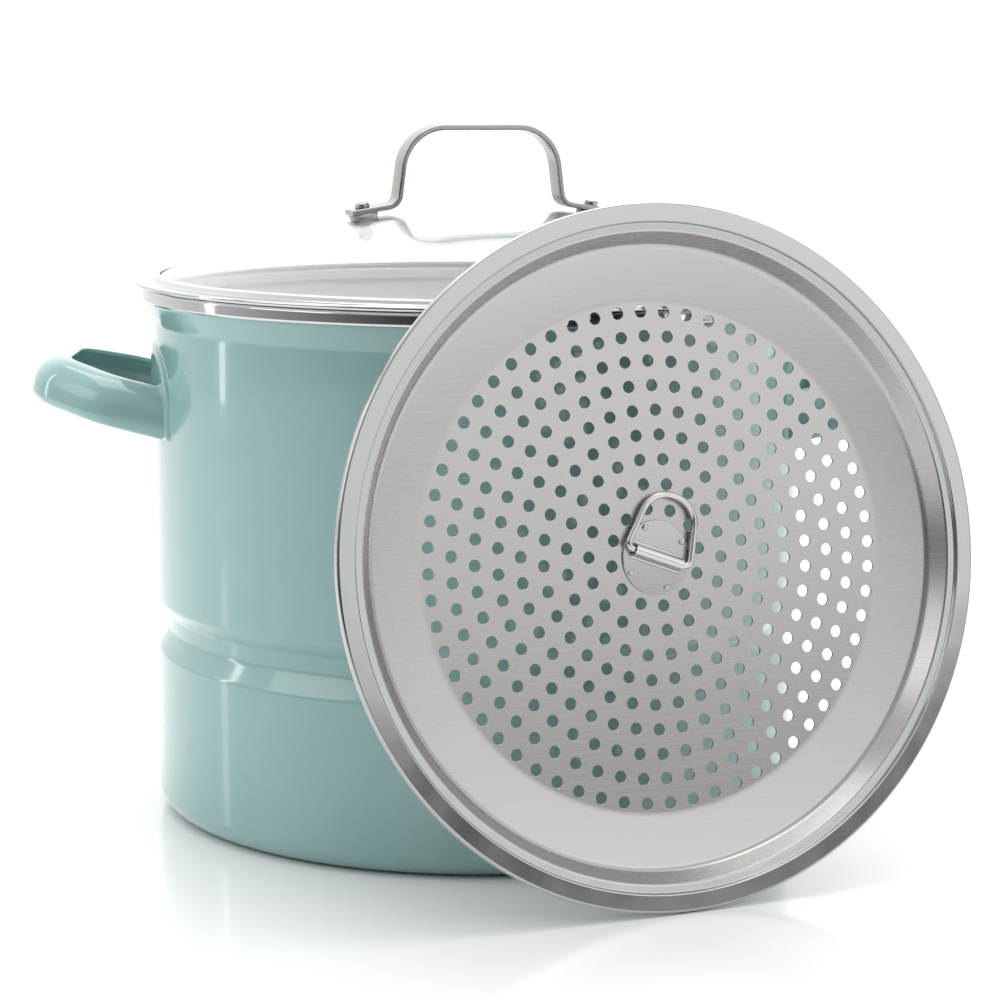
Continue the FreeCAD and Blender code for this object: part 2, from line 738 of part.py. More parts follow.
def build_saddle(placement):
    """Round plate with a half-round channel across it that holds the ring's straight bar."""
    body = new_body("lifter_saddle", placement)
    metal, radius = cell("saddle_sheet"), cell("saddle_radius")
    disc = new_sketch(body, "disc", "XY_Plane")
    draw_circle(disc, (0, 0), radius)
    pad(body, disc, metal)
    wire = cell("wire_radius")
    axis_height = metal + cell("wire_gap") + wire
    bore = wire + cell("wire_gap")
    outer = bore + metal
    doc.recompute()
    arch = new_sketch(body, "arch", "YZ_Plane")
    draw_chain(arch, [
        (outer * -1, metal / 2),
        (outer, metal / 2),
        (outer, axis_height + outer, outer * 0.98),
        (outer * -1, axis_height + outer, outer * 0.98),
    ])
    pad(body, arch, cell("saddle_half") * 2, symmetric=True)
    tunnel = new_sketch(body, "tunnel", "YZ_Plane")
    draw_chain(tunnel, [
        (bore * -1, 0),
        (bore, 0),
        (bore, axis_height + bore, bore * 0.98),
        (bore * -1, axis_height + bore, bore * 0.98),
    ])
    pocket(body, tunnel, radius * 3)
    return body


def build_lifter_ring(placement):
    """D-shaped wire ring: straight bar, rounded corners, arms that close in, round top."""
    body = new_body("lifter_ring", placement)
    section = new_sketch(body, "section", "YZ_Plane")
    draw_circle(section, (0, 0), cell("wire_radius"))
    half_width, corner = cell("ring_half_width"), cell("ring_corner")
    shoulder, height = cell("ring_shoulder"), cell("ring_height") - cell("wire_radius")
    path = [
        (0, 0),
        (half_width, 0, corner),
        (shoulder, height, shoulder * 0.82),
        (0, height),
    ]
    half = pipe(body, path, "XY_Plane", section)
    mirror(body, half, "YZ_Plane")
    return body


def build_rivets(placement):
    """Four domed rivet heads that hold the saddle, one group of separate solids."""
    rivets = []
    for angle in RIVET_ANGLES:
        where = V(SIZES["rivet_circle"] * math.cos(math.radians(angle)),
                  SIZES["rivet_circle"] * math.sin(math.radians(angle)), SIZES["saddle_sheet"])
        head = doc.addObject("Part::Sphere", f"rivet_{angle}")
        head.setExpression("Radius", "Sizes.rivet_radius")
        head.Angle1 = 0
        head.Placement = placement * FreeCAD.Placement(where, FreeCAD.Rotation())
        rivets.append(head)
    group = doc.addObject("Part::Compound", "lifter_rivets")
    group.Links = rivets
    return group


# ------------------------------------------------------------------ assembly
nodes = {}


def keep(label, feature):
    feature.Label = label
    nodes[label] = feature


keep("pot_shell", build_pot_shell())
keep("rim_trim", build_rim_trim())
for name, side in (("left", -1), ("right", 1)):
    keep(f"{name}_handle_pad", build_handle_pad(f"{name}_handle_pad", side))
    keep(f"{name}_handle_loop", build_handle_loop(f"{name}_handle_loop", side))

glass_body = build_lid_glass()
glass_body.Label = "lid_glass_blank"
keep("lid_glass", drilled_glass(glass_body))
keep("lid_ring", build_lid_ring())
strap_body = build_lid_handle()
strap_body.Label = "lid_handle_blank"
keep("lid_handle", drilled_handle(strap_body))
for name, side in (("left", -1), ("right", 1)):
    glass_under = -SIZES["glass_thickness"] - SIZES["glass_sag"]
    gasket, washer = SIZES["gasket_height"], SIZES["washer_height"]
    keep(f"{name}_foot_screw", build_screw(f"{name}_foot_screw", side))
    keep(f"{name}_foot_gasket", build_disc(f"{name}_foot_gasket", side, 0.0,
                                           cell("gasket_radius"), cell("gasket_height")))
    keep(f"{name}_under_gasket", build_disc(f"{name}_under_gasket", side, glass_under - gasket,
                                            cell("gasket_radius"), cell("gasket_height")))
    keep(f"{name}_under_washer", build_disc(f"{name}_under_washer", side, glass_under - gasket - washer,
                                            cell("washer_radius"), cell("washer_height")))
    keep(f"{name}_cap_nut", build_cap_nut(f"{name}_cap_nut", side))

leaning = rack_placement()
on_plate = leaning * FreeCAD.Placement(V(0, 0, SIZES["rack_sheet"]),
                                       FreeCAD.Rotation(Z_AXIS, SIZES["ring_turn"]))
wire_height = SIZES["saddle_sheet"] + SIZES["wire_gap"] + SIZES["wire_radius"]
keep("rack_plate", build_rack_plate(leaning))
keep("lifter_saddle", build_saddle(on_plate))
keep("lifter_ring", build_lifter_ring(on_plate * FreeCAD.Placement(V(0, 0, wire_height), FreeCAD.Rotation())))
keep("lifter_rivets", build_rivets(on_plate))

# ------------------------------------------------------------------ checks and export
doc.recompute()
for item in doc.Objects:
    if "Invalid" in item.State or "Error" in item.State:
        raise RuntimeError(f"{item.Label} did not build: {item.State}")
os.makedirs("parts", exist_ok=True)
for label, feature in nodes.items():
    shape = feature.Shape
    if shape.isNull() or not shape.isValid():
        raise RuntimeError(f"{label} has no valid shape")
    solids = len(shape.Solids)
    box = shape.BoundBox
    print(f"{label}: {solids} solid(s), {shape.Volume / 1000:.2f} cm3, "
          f"x {box.XMin:.1f}..{box.XMax:.1f} y {box.YMin:.1f}..{box.YMax:.1f} z {box.ZMin:.1f}..{box.ZMax:.1f}")
    shape.exportStep(os.path.join("parts", f"{label}.step"))
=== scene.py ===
"""Visual model of an enamelled stock pot with a glass lid and a leaning steamer rack.

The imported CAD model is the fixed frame. Each sub-assembly is a class: its sizes are dataclass fields
in millimetres, and its methods build the meshes and dress them in real finishes.
"""
import json
import logging
import math
from dataclasses import dataclass, field
from enum import Enum

import bmesh
import bpy
from bpy.types import Material, Node, NodeTree, Object
from mathutils import Matrix, Vector, geometry
from mathutils.kdtree import KDTree


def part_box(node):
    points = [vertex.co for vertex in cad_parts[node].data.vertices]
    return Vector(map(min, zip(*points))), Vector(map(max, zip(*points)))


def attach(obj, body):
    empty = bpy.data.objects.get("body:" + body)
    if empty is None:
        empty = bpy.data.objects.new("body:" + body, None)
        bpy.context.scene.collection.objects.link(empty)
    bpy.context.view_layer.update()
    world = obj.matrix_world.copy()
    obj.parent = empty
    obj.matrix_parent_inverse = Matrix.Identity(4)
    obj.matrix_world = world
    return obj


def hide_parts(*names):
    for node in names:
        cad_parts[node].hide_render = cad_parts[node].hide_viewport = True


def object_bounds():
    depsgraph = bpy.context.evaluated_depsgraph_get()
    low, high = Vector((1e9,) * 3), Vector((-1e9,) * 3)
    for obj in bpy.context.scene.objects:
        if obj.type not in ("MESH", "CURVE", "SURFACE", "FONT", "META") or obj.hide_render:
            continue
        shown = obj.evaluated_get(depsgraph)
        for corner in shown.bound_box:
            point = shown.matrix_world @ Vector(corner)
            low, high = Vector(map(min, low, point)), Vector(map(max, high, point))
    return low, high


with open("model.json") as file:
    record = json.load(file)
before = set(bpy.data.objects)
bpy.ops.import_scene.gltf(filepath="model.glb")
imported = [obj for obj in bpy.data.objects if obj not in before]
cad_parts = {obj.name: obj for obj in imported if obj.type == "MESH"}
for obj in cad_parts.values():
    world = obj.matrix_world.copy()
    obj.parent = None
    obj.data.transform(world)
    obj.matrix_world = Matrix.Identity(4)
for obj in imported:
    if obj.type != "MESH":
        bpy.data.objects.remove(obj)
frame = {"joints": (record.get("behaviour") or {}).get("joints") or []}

CAD_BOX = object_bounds()
MM = 0.001
UP = Vector((0, 0, 1))
ROUND_STEPS = 320                  # steps round the pot, its trim and the lid's ring
STRAIGHT = math.radians(89.5)      # half of a corner's angle beyond which the corner needs no arc
ON_AXIS = 1e-6                     # radius below which an outline's point is on the axis
NOISE = {"From Min": 0.3, "From Max": 0.7}    # where most values of a noise texture lie
LOG = logging.getLogger("stock_pot")
Outline = list[tuple[float, ...]]
Points = list[Vector]
Faces = list[tuple[int, ...]]


class Side(Enum):
    """The two ends of the X axis, where the pot's handles and the strap's feet are."""

    LEFT = -1
    RIGHT = 1

    @property
    def word(self) -> str:
        """Name used in node and piece names."""
        return self.name.lower()


class Body(Enum):
    """Rigid bodies of the CAD model that pieces ride on."""

    POT = "pot"
    LID = "lid"
    RACK = "rack"
    LIFTER = "lifter"


class Slot(Enum):
    """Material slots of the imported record."""

    ENAMEL = "enamel"
    POLISHED = "polished_steel"
    BRUSHED = "brushed_steel"
    GLASS = "lid_glass"
    SILICONE = "silicone"


class Plane(Enum):
    """Planes that a flat path can lie in."""

    LEVEL = "XY"
    UPRIGHT = "XZ"


# ------------------------------------------------------------------ outlines and meshes
def circle_point(radius: float, angle: float) -> Vector:
    """Flat point at a radius and an angle in radians."""
    return Vector((math.cos(angle), math.sin(angle))) * radius


def spokes(radius: float, count: int) -> Points:
    """Flat points evenly spaced round a circle."""
    return [circle_point(radius, 2 * math.pi * step / count) for step in range(count)]


def rounded(corners: Outline, step: float = 9.0, closed: bool = True) -> Points:
    """Turn corners with radii into a smooth outline.

    Args:
        corners: (x, y) or (x, y, radius) in millimetres; a radius rounds that corner.
        step: largest turn between two outline points, in degrees.
        closed: whether the last corner runs back to the first.

    Returns:
        The outline's points in millimetres.
    """
    points: Points = []
    count = len(corners)
    for i, corner in enumerate(corners):
        here = Vector(corner[:2])
        radius = corner[2] if len(corner) > 2 else 0.0
        if not radius or (not closed and i in (0, count - 1)):
            points.append(here)
            continue
        back = (Vector(corners[i - 1][:2]) - here).normalized()
        ahead = (Vector(corners[(i + 1) % count][:2]) - here).normalized()
        half = back.angle(ahead) / 2
        if half > STRAIGHT:
            points.append(here)
            continue
        centre = here + (back + ahead).normalized() * (radius / math.sin(half))
        first = here + back * (radius / math.tan(half)) - centre
        last = here + ahead * (radius / math.tan(half)) - centre
        turn = first.angle_signed(last)
        parts = max(2, math.ceil(abs(math.degrees(turn)) / step))
        for part in range(parts + 1):
            points.append(centre + Matrix.Rotation(-turn * part / parts, 2) @ first)
    return points


def mesh_object(name: str, vertices: Points, faces: Faces, sharp: float = 38.0,
                scale: float = MM) -> Object:
    """Make a smooth-shaded object from points in millimetres.

    Args:
        name: the piece's name.
        vertices: points in the piece's own frame.
        faces: vertex indices of each face.
        sharp: edges that turn by more than this many degrees stay crisp.
        scale: length of one unit of the points, in metres.

    Returns:
        The new object, linked to the scene.
    """
    mesh = bpy.data.meshes.new(name)
    mesh.from_pydata([v * scale for v in vertices], [], faces)
    mesh.validate()
    mesh.polygons.foreach_set("use_smooth", [True] * len(mesh.polygons))
    mesh.set_sharp_from_angle(angle=math.radians(sharp))
    piece = bpy.data.objects.new(name, mesh)
    bpy.context.scene.collection.objects.link(piece)
    return piece


def lathe_mesh(outline: Points, segments: int, closed: bool = True) -> tuple[Points, Faces]:
    """Turn an outline of (radius, height) points round Z.

    Args:
        outline: the outline's points; a point on the axis becomes a single vertex.
        segments: how many steps the turn has.
        closed: whether the last point joins the first.

    Returns:
        Vertices and faces.
    """
    vertices: Points = []
    rows: list[list[int]] = []
    for point in outline:
        if point.x < ON_AXIS:
            rows.append([len(vertices)] * segments)
            vertices.append(Vector((0, 0, point.y)))
            continue
        rows.append(list(range(len(vertices), len(vertices) + segments)))
        for step in range(segments):
            angle = 2 * math.pi * step / segments
            vertices.append(Vector((point.x * math.cos(angle), point.x * math.sin(angle), point.y)))
    faces: Faces = []
    for i in range(len(rows) if closed else len(rows) - 1):
        low, high = rows[i], rows[(i + 1) % len(rows)]
        for step in range(segments):
            after = (step + 1) % segments
            ring = dict.fromkeys((low[step], low[after], high[after], high[step]))
            if len(ring) > 2:
                faces.append(tuple(ring))
    return vertices, faces


def lathe(name: str, corners: Outline, segments: int, closed: bool = True) -> Object:
    """Turn rounded corners round Z and make an object of them.

    Args:
        name: the piece's name.
        corners: (radius, height[, corner radius]) in millimetres.
        segments: steps round the axis.
        closed: whether the outline is a closed ring.

    Returns:
        The new object.
    """
    return mesh_object(name, *lathe_mesh(rounded(corners, closed=closed), segments, closed))


def sweep(name: str, path: Points, section: Points, up: Vector = UP) -> Object:
    """Carry a closed section along a flat path and cap its two ends, if it has any.

    Args:
        name: the piece's name.
        path: points of the path in millimetres; a closed path repeats its first point at the end.
        section: points (across, along up), where across points to the path's right.
        up: normal of the path's plane.

    Returns:
        The new object.
    """
    turning = sum(a.x * b.y - a.y * b.x for a, b in zip(section, section[1:] + section[:1]))
    section = section[::-1] if turning > 0 else section
    looped = path[0] == path[-1]
    spine = path[:-1] if looped else path
    count, size = len(spine), len(section)
    vertices: Points = []
    for i, point in enumerate(spine):
        before = spine[i - 1] if looped or i > 0 else point
        after = spine[(i + 1) % count] if looped or i < count - 1 else point
        right = (after - before).normalized().cross(up)
        vertices.extend(point + right * s.x + up * s.y for s in section)
    faces: Faces = []
    for i in range(count if looped else count - 1):
        low, high = i * size, (i + 1) % count * size
        for j in range(size):
            k = (j + 1) % size
            faces.append((low + j, low + k, high + k, high + j))
    if not looped:
        faces.append(tuple(range(size))[::-1])
        faces.append(tuple(range((count - 1) * size, count * size)))
    return mesh_object(name, vertices, faces)


def flat_path(corners: Outline, plane: Plane, step: float, closed: bool = False) -> Points:
    """Round a chain of corners and set it in a plane.

    Args:
        corners: (x, y[, radius]) in millimetres.
        plane: the plane that the path lies in.
        step: largest turn between two points, in degrees.
        closed: whether the path runs back to its start, which is then repeated at its end.

    Returns:
        The path's points in millimetres.
    """
    points = rounded(corners, step, closed)
    if closed:
        points.append(points[0].copy())
    return [Vector((p.x, p.y, 0) if plane is Plane.LEVEL else (p.x, 0, p.y)) for p in points]


def settle(piece: Object, placement: Matrix) -> None:
    """Keep a sheet's own flat coordinates in metres as its UV map, then move the mesh to its place.

    Args:
        piece: an object whose mesh lies in its own flat frame.
        placement: the frame's place in the scene.
    """
    mesh = piece.data
    flat = [(v.co.x, v.co.y) for v in mesh.vertices]
    grain = mesh.uv_layers.new(name="grain")
    grain.data.foreach_set("uv", [value for loop in mesh.loops for value in flat[loop.vertex_index]])
    mesh.transform(placement)


def flat_tree(points: Points) -> KDTree:
    """Make a search tree of flat points.

    Args:
        points: flat points.

    Returns:
        The balanced tree, whose indices are those of the points.
    """
    tree = KDTree(len(points))
    for i, point in enumerate(points):
        tree.insert(point.to_3d(), i)
    tree.balance()
    return tree


# ------------------------------------------------------------------ finishes
def to_linear(colour: str) -> tuple[float, float, float, float]:
    """Turn an sRGB hex colour into linear light.

    Args:
        colour: six hex digits after a hash sign.

    Returns:
        Red, green, blue and full alpha.
    """
    channels = [int(colour[i:i + 2], 16) / 255 for i in (1, 3, 5)]
    red, green, blue = (c / 12.92 if c <= 0.04045 else ((c + 0.055) / 1.055) ** 2.4 for c in channels)
    return red, green, blue, 1.0


def gloss_range(roughness: float, spread: tuple[float, float]) -> dict[str, float]:
    """Settings that turn a noise texture into a roughness between two shares of a surface's own."""
    return {**NOISE, "To Min": roughness * spread[0], "To Max": roughness * spread[1]}


def add_node(tree: NodeTree, kind: str, settings: dict | None = None, links: dict | None = None
             ) -> Node:
    """Add a shader node with its settings and links.

    Args:
        tree: the node tree to add to.
        kind: the shader node's type, such as Bump.
        settings: attribute names or input names, with their values.
        links: input names or numbers, with the output socket that feeds each.

    Returns:
        The new node.
    """
    node = tree.nodes.new(f"ShaderNode{kind}")
    for key, value in (settings or {}).items():
        if isinstance(key, str) and hasattr(node, key):
            setattr(node, key, value)
        else:
            node.inputs[key].default_value = value
    for key, output in (links or {}).items():
        tree.links.new(output, node.inputs[key])
    return node


@dataclass(frozen=True)
class Finish:
    """A named surface; each subclass says what it is made of and adds its own nodes."""

    name: str

    def material(self) -> Material:
        """Return the finish's material, made on first use."""
        known = bpy.data.materials.get(self.name)
        if known is not None:
            return known
        made = bpy.data.materials.new(self.name)
        made.use_nodes = True
        made.node_tree.nodes.clear()
        shader = self.shade(made.node_tree)
        add_node(made.node_tree, "OutputMaterial", links={"Surface": shader.outputs[0]})
        return made

    def shade(self, tree: NodeTree) -> Node:
        """Add the surface's nodes to a tree and return its shader."""
        raise NotImplementedError


@dataclass(frozen=True)
class VitreousEnamel(Finish):
    """Powdered glass fused on steel.

    The eye gets a deep gloss, a faint orange-peel flow in it, and colour that pools slightly.
    """

    colour: str
    thin: str
    roughness: float = 0.16
    gloss_spread: tuple[float, float] = (0.8, 1.25)
    flow_mm: float = 7.0
    pool_mm: float = 70.0

    def shade(self, tree: NodeTree) -> Node:
        """Colour pools over centimetres; the gloss coat ripples at the flow's scale."""
        place = add_node(tree, "TexCoord").outputs["Object"]
        pools = add_node(tree, "TexNoise", {"Scale": 1 / (self.pool_mm * MM), "Detail": 3.0},
                         {"Vector": place})
        tint = add_node(tree, "Mix", {"data_type": "RGBA", 6: to_linear(self.colour),
                                      7: to_linear(self.thin)}, {0: pools.outputs["Fac"]})
        flow = add_node(tree, "TexNoise", {"Scale": 1 / (self.flow_mm * MM), "Detail": 2.0},
                        {"Vector": place})
        gloss = add_node(tree, "MapRange", gloss_range(self.roughness, self.gloss_spread),
                         {"Value": flow.outputs["Fac"]})
        bump = add_node(tree, "Bump", {"Strength": 0.12, "Distance": 0.15 * MM},
                        {"Height": flow.outputs["Fac"]})
        return add_node(tree, "BsdfPrincipled",
                        {"IOR": 1.5, "Coat Weight": 0.6, "Coat Roughness": 0.05},
                        {"Base Color": tint.outputs[2], "Roughness": gloss.outputs[0],
                         "Normal": bump.outputs[0]})


@dataclass(frozen=True)
class PolishedStainless(Finish):
    """Buffed 18/8 stainless.

    The eye gets a near mirror, softened by hairlines and dulled in soft patches. Real hairlines are
    about 0.05 mm wide; they are drawn ten times coarser so that they show.
    """

    colour: str = "#D6D5D2"
    roughness: float = 0.14
    gloss_spread: tuple[float, float] = (0.7, 1.3)
    hairline_mm: float = 0.5
    smudge_mm: float = 18.0

    def shade(self, tree: NodeTree) -> Node:
        """Hairlines give a fine bump; smudges vary the gloss."""
        place = add_node(tree, "TexCoord").outputs["Object"]
        smudges = add_node(tree, "TexNoise", {"Scale": 1 / (self.smudge_mm * MM), "Detail": 3.0},
                           {"Vector": place})
        gloss = add_node(tree, "MapRange", gloss_range(self.roughness, self.gloss_spread),
                         {"Value": smudges.outputs["Fac"]})
        lines = add_node(tree, "TexNoise", {"Scale": 1 / (self.hairline_mm * MM), "Detail": 2.0},
                         {"Vector": place})
        bump = add_node(tree, "Bump", {"Strength": 0.01, "Distance": 0.02 * MM},
                        {"Height": lines.outputs["Fac"]})
        return add_node(tree, "BsdfPrincipled",
                        {"Base Color": to_linear(self.colour), "Metallic": 1.0},
                        {"Roughness": gloss.outputs[0], "Normal": bump.outputs[0]})


@dataclass(frozen=True)
class BrushedStainless(Finish):
    """Stainless sheet with a satin rolled grain.

    The eye gets soft, wide reflections over faint parallel lines. The real grain is about 0.1 mm wide;
    it is drawn ten times coarser so that it shows.
    """

    colour: str = "#B4B2B0"
    roughness: float = 0.27
    gloss_spread: tuple[float, float] = (0.95, 1.05)
    darkest_grain: float = 0.985
    grain_mm: float = 1.1
    stretch: float = 0.02
    wave_mm: float = 45.0

    def shade(self, tree: NodeTree) -> Node:
        """Grain runs along the sheet's own first axis; a long, shallow wave bends the reflections."""
        place = add_node(tree, "TexCoord").outputs["UV"]
        drawn = add_node(tree, "Mapping", {"Scale": (self.stretch, 1.0, 1.0)}, {"Vector": place})
        grain = add_node(tree, "TexNoise", {"Scale": 1 / (self.grain_mm * MM), "Detail": 1.0},
                         {"Vector": drawn.outputs[0]})
        waves = add_node(tree, "TexNoise", {"Scale": 1 / (self.wave_mm * MM), "Detail": 1.0},
                         {"Vector": place})
        gloss = add_node(tree, "MapRange", gloss_range(self.roughness, self.gloss_spread),
                         {"Value": grain.outputs["Fac"]})
        tone = add_node(tree, "MapRange", {**NOISE, "To Min": self.darkest_grain, "To Max": 1.0},
                        {"Value": grain.outputs["Fac"]})
        tint = add_node(tree, "Mix", {"data_type": "RGBA", "blend_type": "MULTIPLY", 0: 1.0,
                                      6: to_linear(self.colour)}, {7: tone.outputs[0]})
        bump = add_node(tree, "Bump", {"Strength": 0.12, "Distance": 0.3 * MM},
                        {"Height": waves.outputs["Fac"]})
        return add_node(tree, "BsdfPrincipled", {"Metallic": 1.0},
                        {"Base Color": tint.outputs[2], "Roughness": gloss.outputs[0],
                         "Normal": bump.outputs[0]})


@dataclass(frozen=True)
class TemperedGlass(Finish):
    """Pressed soda-lime glass: clear, with a faint green cast and a fire-polished skin."""

    colour: str = "#FCFFFE"
    wave_mm: float = 60.0

    def shade(self, tree: NodeTree) -> Node:
        """A broad, weak bump keeps the reflections from being perfectly straight."""
        place = add_node(tree, "TexCoord").outputs["Object"]
        waves = add_node(tree, "TexNoise", {"Scale": 1 / (self.wave_mm * MM), "Detail": 1.0},
                         {"Vector": place})
        bump = add_node(tree, "Bump", {"Strength": 0.05, "Distance": 0.2 * MM},
                        {"Height": waves.outputs["Fac"]})
        return add_node(tree, "BsdfPrincipled",
                        {"Base Color": to_linear(self.colour), "Roughness": 0.0, "IOR": 1.52,
                         "Transmission Weight": 1.0, "Specular IOR Level": 0.3},
                        {"Normal": bump.outputs[0]})


@dataclass(frozen=True)
class Silicone(Finish):
    """Moulded translucent silicone rubber: soft satin with a little light inside."""

    colour: str = "#D9D9D6"
    mould_mm: float = 0.8

    def shade(self, tree: NodeTree) -> Node:
        """Fine mould texture over a satin body."""
        place = add_node(tree, "TexCoord").outputs["Object"]
        mould = add_node(tree, "TexNoise", {"Scale": 1 / (self.mould_mm * MM), "Detail": 2.0},
                         {"Vector": place})
        bump = add_node(tree, "Bump", {"Strength": 0.1, "Distance": 0.05 * MM},
                        {"Height": mould.outputs["Fac"]})
        return add_node(tree, "BsdfPrincipled",
                        {"Base Color": to_linear(self.colour), "Roughness": 0.45, "IOR": 1.41,
                         "Subsurface Weight": 0.2, "Subsurface Scale": 1.0 * MM},
                        {"Normal": bump.outputs[0]})


@dataclass(frozen=True)
class Lacquer(Finish):
    """Sprayed and polished table lacquer: plain, smooth and glossy."""

    colour: str

    def shade(self, tree: NodeTree) -> Node:
        """An even gloss with no pattern."""
        return add_node(tree, "BsdfPrincipled",
                        {"Base Color": to_linear(self.colour), "Roughness": 0.12, "IOR": 1.45})


AQUA_ENAMEL = VitreousEnamel("aqua_vitreous_enamel", colour="#86ADAB", thin="#90B5B2")
WHITE_ENAMEL = VitreousEnamel("white_vitreous_enamel", colour="#F8FAF7", thin="#FBFCFA")
BRIGHT_STEEL = PolishedStainless("polished_stainless")
RIM_STEEL = PolishedStainless("bright_rolled_stainless", colour="#C9CACB", roughness=0.07)
STRAP_STEEL = PolishedStainless("polished_stainless_strap", colour="#A0A09C", roughness=0.17)
WIRE_STEEL = PolishedStainless("drawn_stainless_wire", colour="#C6C5C2", roughness=0.16)
FLANGE_STEEL = PolishedStainless("buffed_rolled_stainless", colour="#B2B3B3", roughness=0.13)
RACK_STEEL = BrushedStainless("satin_rolled_stainless")
CLEAR_GLASS = TemperedGlass("clear_tempered_glass")
SOFT_SILICONE = Silicone("moulded_silicone")
TABLE_LACQUER = Lacquer("white_lacquer", colour="#FAFAFA")


def dress(piece: Object, body: Body, slot: Slot, nodes: tuple[str, ...], *finishes: Finish) -> None:
    """Give a piece its finishes and tie it to the CAD model.

    Args:
        piece: the object to dress.
        body: the rigid body that it rides on.
        slot: the record's material slot; not used.
        nodes: CAD nodes that the piece stands for.
        finishes: materials, in the order of the mesh's material indices.
    """
    for finish in finishes:
        piece.data.materials.append(finish.material())
    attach(piece, body.value)
    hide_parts(*nodes)
    LOG.info("%s: %d faces on %s", piece.name, len(piece.data.polygons), body.value)


# ------------------------------------------------------------------ pot
@dataclass
class Pot:
    """Drawn steel shell, enamelled aqua outside and white inside, with a rim trim and two handles."""

    wall: float = 1.2
    base_radius: float = 145.6
    body_radius: float = 146.1
    base_corner: float = 10.8
    groove_low: float = 74.0
    groove_floor_low: float = 82.5
    groove_floor_high: float = 90.0
    groove_high: float = 97.0
    groove_depth: float = 5.4
    flare_start: float = 221.5
    flare_end: float = 231.0
    lip_radius: float = 150.2
    inner_shift: float = 0.5
    trim_inner_radius: float = 147.6
    trim_lap: float = 0.1
    pad_thickness: float = 1.8
    pad_low: float = 172.0
    pad_top: float = 213.0
    pad_half_width: float = 59.0
    pad_droop: float = 0.56
    pad_edge: float = 3.6
    pad_sunk: float = 0.3
    loop_pivot_x: float = 140.0
    loop_start_x: float = 128.0
    loop_outer_x: float = 200.5
    loop_root_y: float = 48.5
    loop_shoulder_x: float = 165.0
    loop_outer_y: float = 27.0
    loop_height: float = 21.5
    loop_depth: float = 14.0
    loop_sheet: float = 1.6
    loop_root_z: float = 183.4
    loop_rise: float = 14.0
    loop_round_low: float = 5.0
    loop_round_high: float = 12.8
    loop_lip: float = 0.5
    loop_bend: float = 0.85
    loop_bite: float = 0.1

    def build(self) -> None:
        """Build and dress every piece of the pot."""
        self.shell()
        self.trim()
        for side in Side:
            self.pad(side)
            self.loop(side)

    def shell(self) -> None:
        """Turned shell with a groove, a flared lip and a rounded base; its second material is the inside."""
        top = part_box("pot_shell")[1].z / MM
        groove = self.body_radius - self.groove_depth
        outside = [
            (0.0, 0.0), (self.base_radius, 0.0, self.base_corner),
            (self.base_radius, self.groove_low, 4.8), (groove, self.groove_floor_low, 4.8),
            (groove, self.groove_floor_high, 3.0), (self.body_radius, self.groove_high, 3.0),
            (self.body_radius, self.flare_start, 6.0), (self.lip_radius, self.flare_end, 3.6),
            (self.lip_radius, top),
        ]
        wall, shift = self.wall, self.inner_shift
        inside = [
            (self.lip_radius - wall, top), (self.lip_radius - wall, self.flare_end, 3.0),
            (self.body_radius - wall, self.flare_start + shift, 6.0),
            (self.body_radius - wall, self.groove_high + shift, 2.4),
            (groove - wall, self.groove_floor_high + shift, 3.6),
            (groove - wall, self.groove_floor_low - shift, 5.4),
            (self.base_radius - wall, self.groove_low - shift, 4.2),
            (self.base_radius - wall, wall, self.base_corner - wall), (0.0, wall),
        ]
        outer_rows = rounded(outside, 7.0, closed=False)
        inner_rows = rounded(inside, 7.0, closed=False)
        vertices, faces = lathe_mesh(outer_rows + inner_rows, ROUND_STEPS, closed=False)
        piece = mesh_object("pot_shell_enamelled", vertices, faces, sharp=60)
        first_inner = (len(outer_rows) - 1) * ROUND_STEPS
        piece.data.polygons.foreach_set("material_index", [int(i >= first_inner) for i in range(len(faces))])
        dress(piece, Body.POT, Slot.ENAMEL, ("pot_shell",), AQUA_ENAMEL, WHITE_ENAMEL)

    def trim(self) -> None:
        """Rolled stainless bead that wraps the lip."""
        low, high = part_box("rim_trim")
        outer, inner, bottom, top = high.x / MM, self.trim_inner_radius, low.z / MM, high.z / MM
        lip_out, lip_in = self.lip_radius - self.trim_lap, self.lip_radius - self.wall
        piece = lathe("rim_trim_rolled", [
            (lip_out, bottom, 0.3), (outer, bottom, 1.3), (outer, top, 1.9), (inner, top, 1.2),
            (inner, bottom + 1.8, 0.3), (lip_in, bottom + 1.8, 0.2), (lip_in, top - 1.5),
            (lip_out, top - 1.5),
        ], ROUND_STEPS)
        dress(piece, Body.POT, Slot.POLISHED, ("rim_trim",), RIM_STEEL)

    def pad(self, side: Side) -> None:
        """Base plate under one handle: swells out of the body with an arched top and soft edges.

        Args:
            side: the handle's side.
        """
        columns, rows = 96, 48
        half_angle = math.asin(self.pad_half_width / (self.body_radius + self.pad_thickness))
        height = self.pad_top - self.pad_low
        vertices: Points = []
        for i in range(columns + 1):
            across = 2 * i / columns - 1
            angle = half_angle * across
            arch = self.pad_low + height * (1 - self.pad_droop * abs(across) ** 6)
            for j in range(rows + 1):
                share = j / rows
                z = self.pad_low + (arch - self.pad_low) * share
                edge = min(z - self.pad_low, arch - z, (1 - abs(across)) * self.pad_half_width)
                slope = 1 - min(1.0, max(0.0, edge / self.pad_edge))
                swell = (self.pad_thickness + self.pad_sunk) * math.sqrt(1 - slope ** 2)
                spot = circle_point(self.body_radius - self.pad_sunk + swell, angle)
                vertices.append(Vector((side.value * spot.x, spot.y, z)))
        faces = []
        for i in range(columns):
            for j in range(rows):
                corner = i * (rows + 1) + j
                quad = (corner, corner + rows + 1, corner + rows + 2, corner + 1)
                faces.append(quad if side is Side.RIGHT else quad[::-1])
        name = f"{side.word}_handle_pad"
        piece = mesh_object(f"{name}_enamelled", vertices, faces, sharp=80)
        dress(piece, Body.POT, Slot.ENAMEL, (name,), AQUA_ENAMEL)

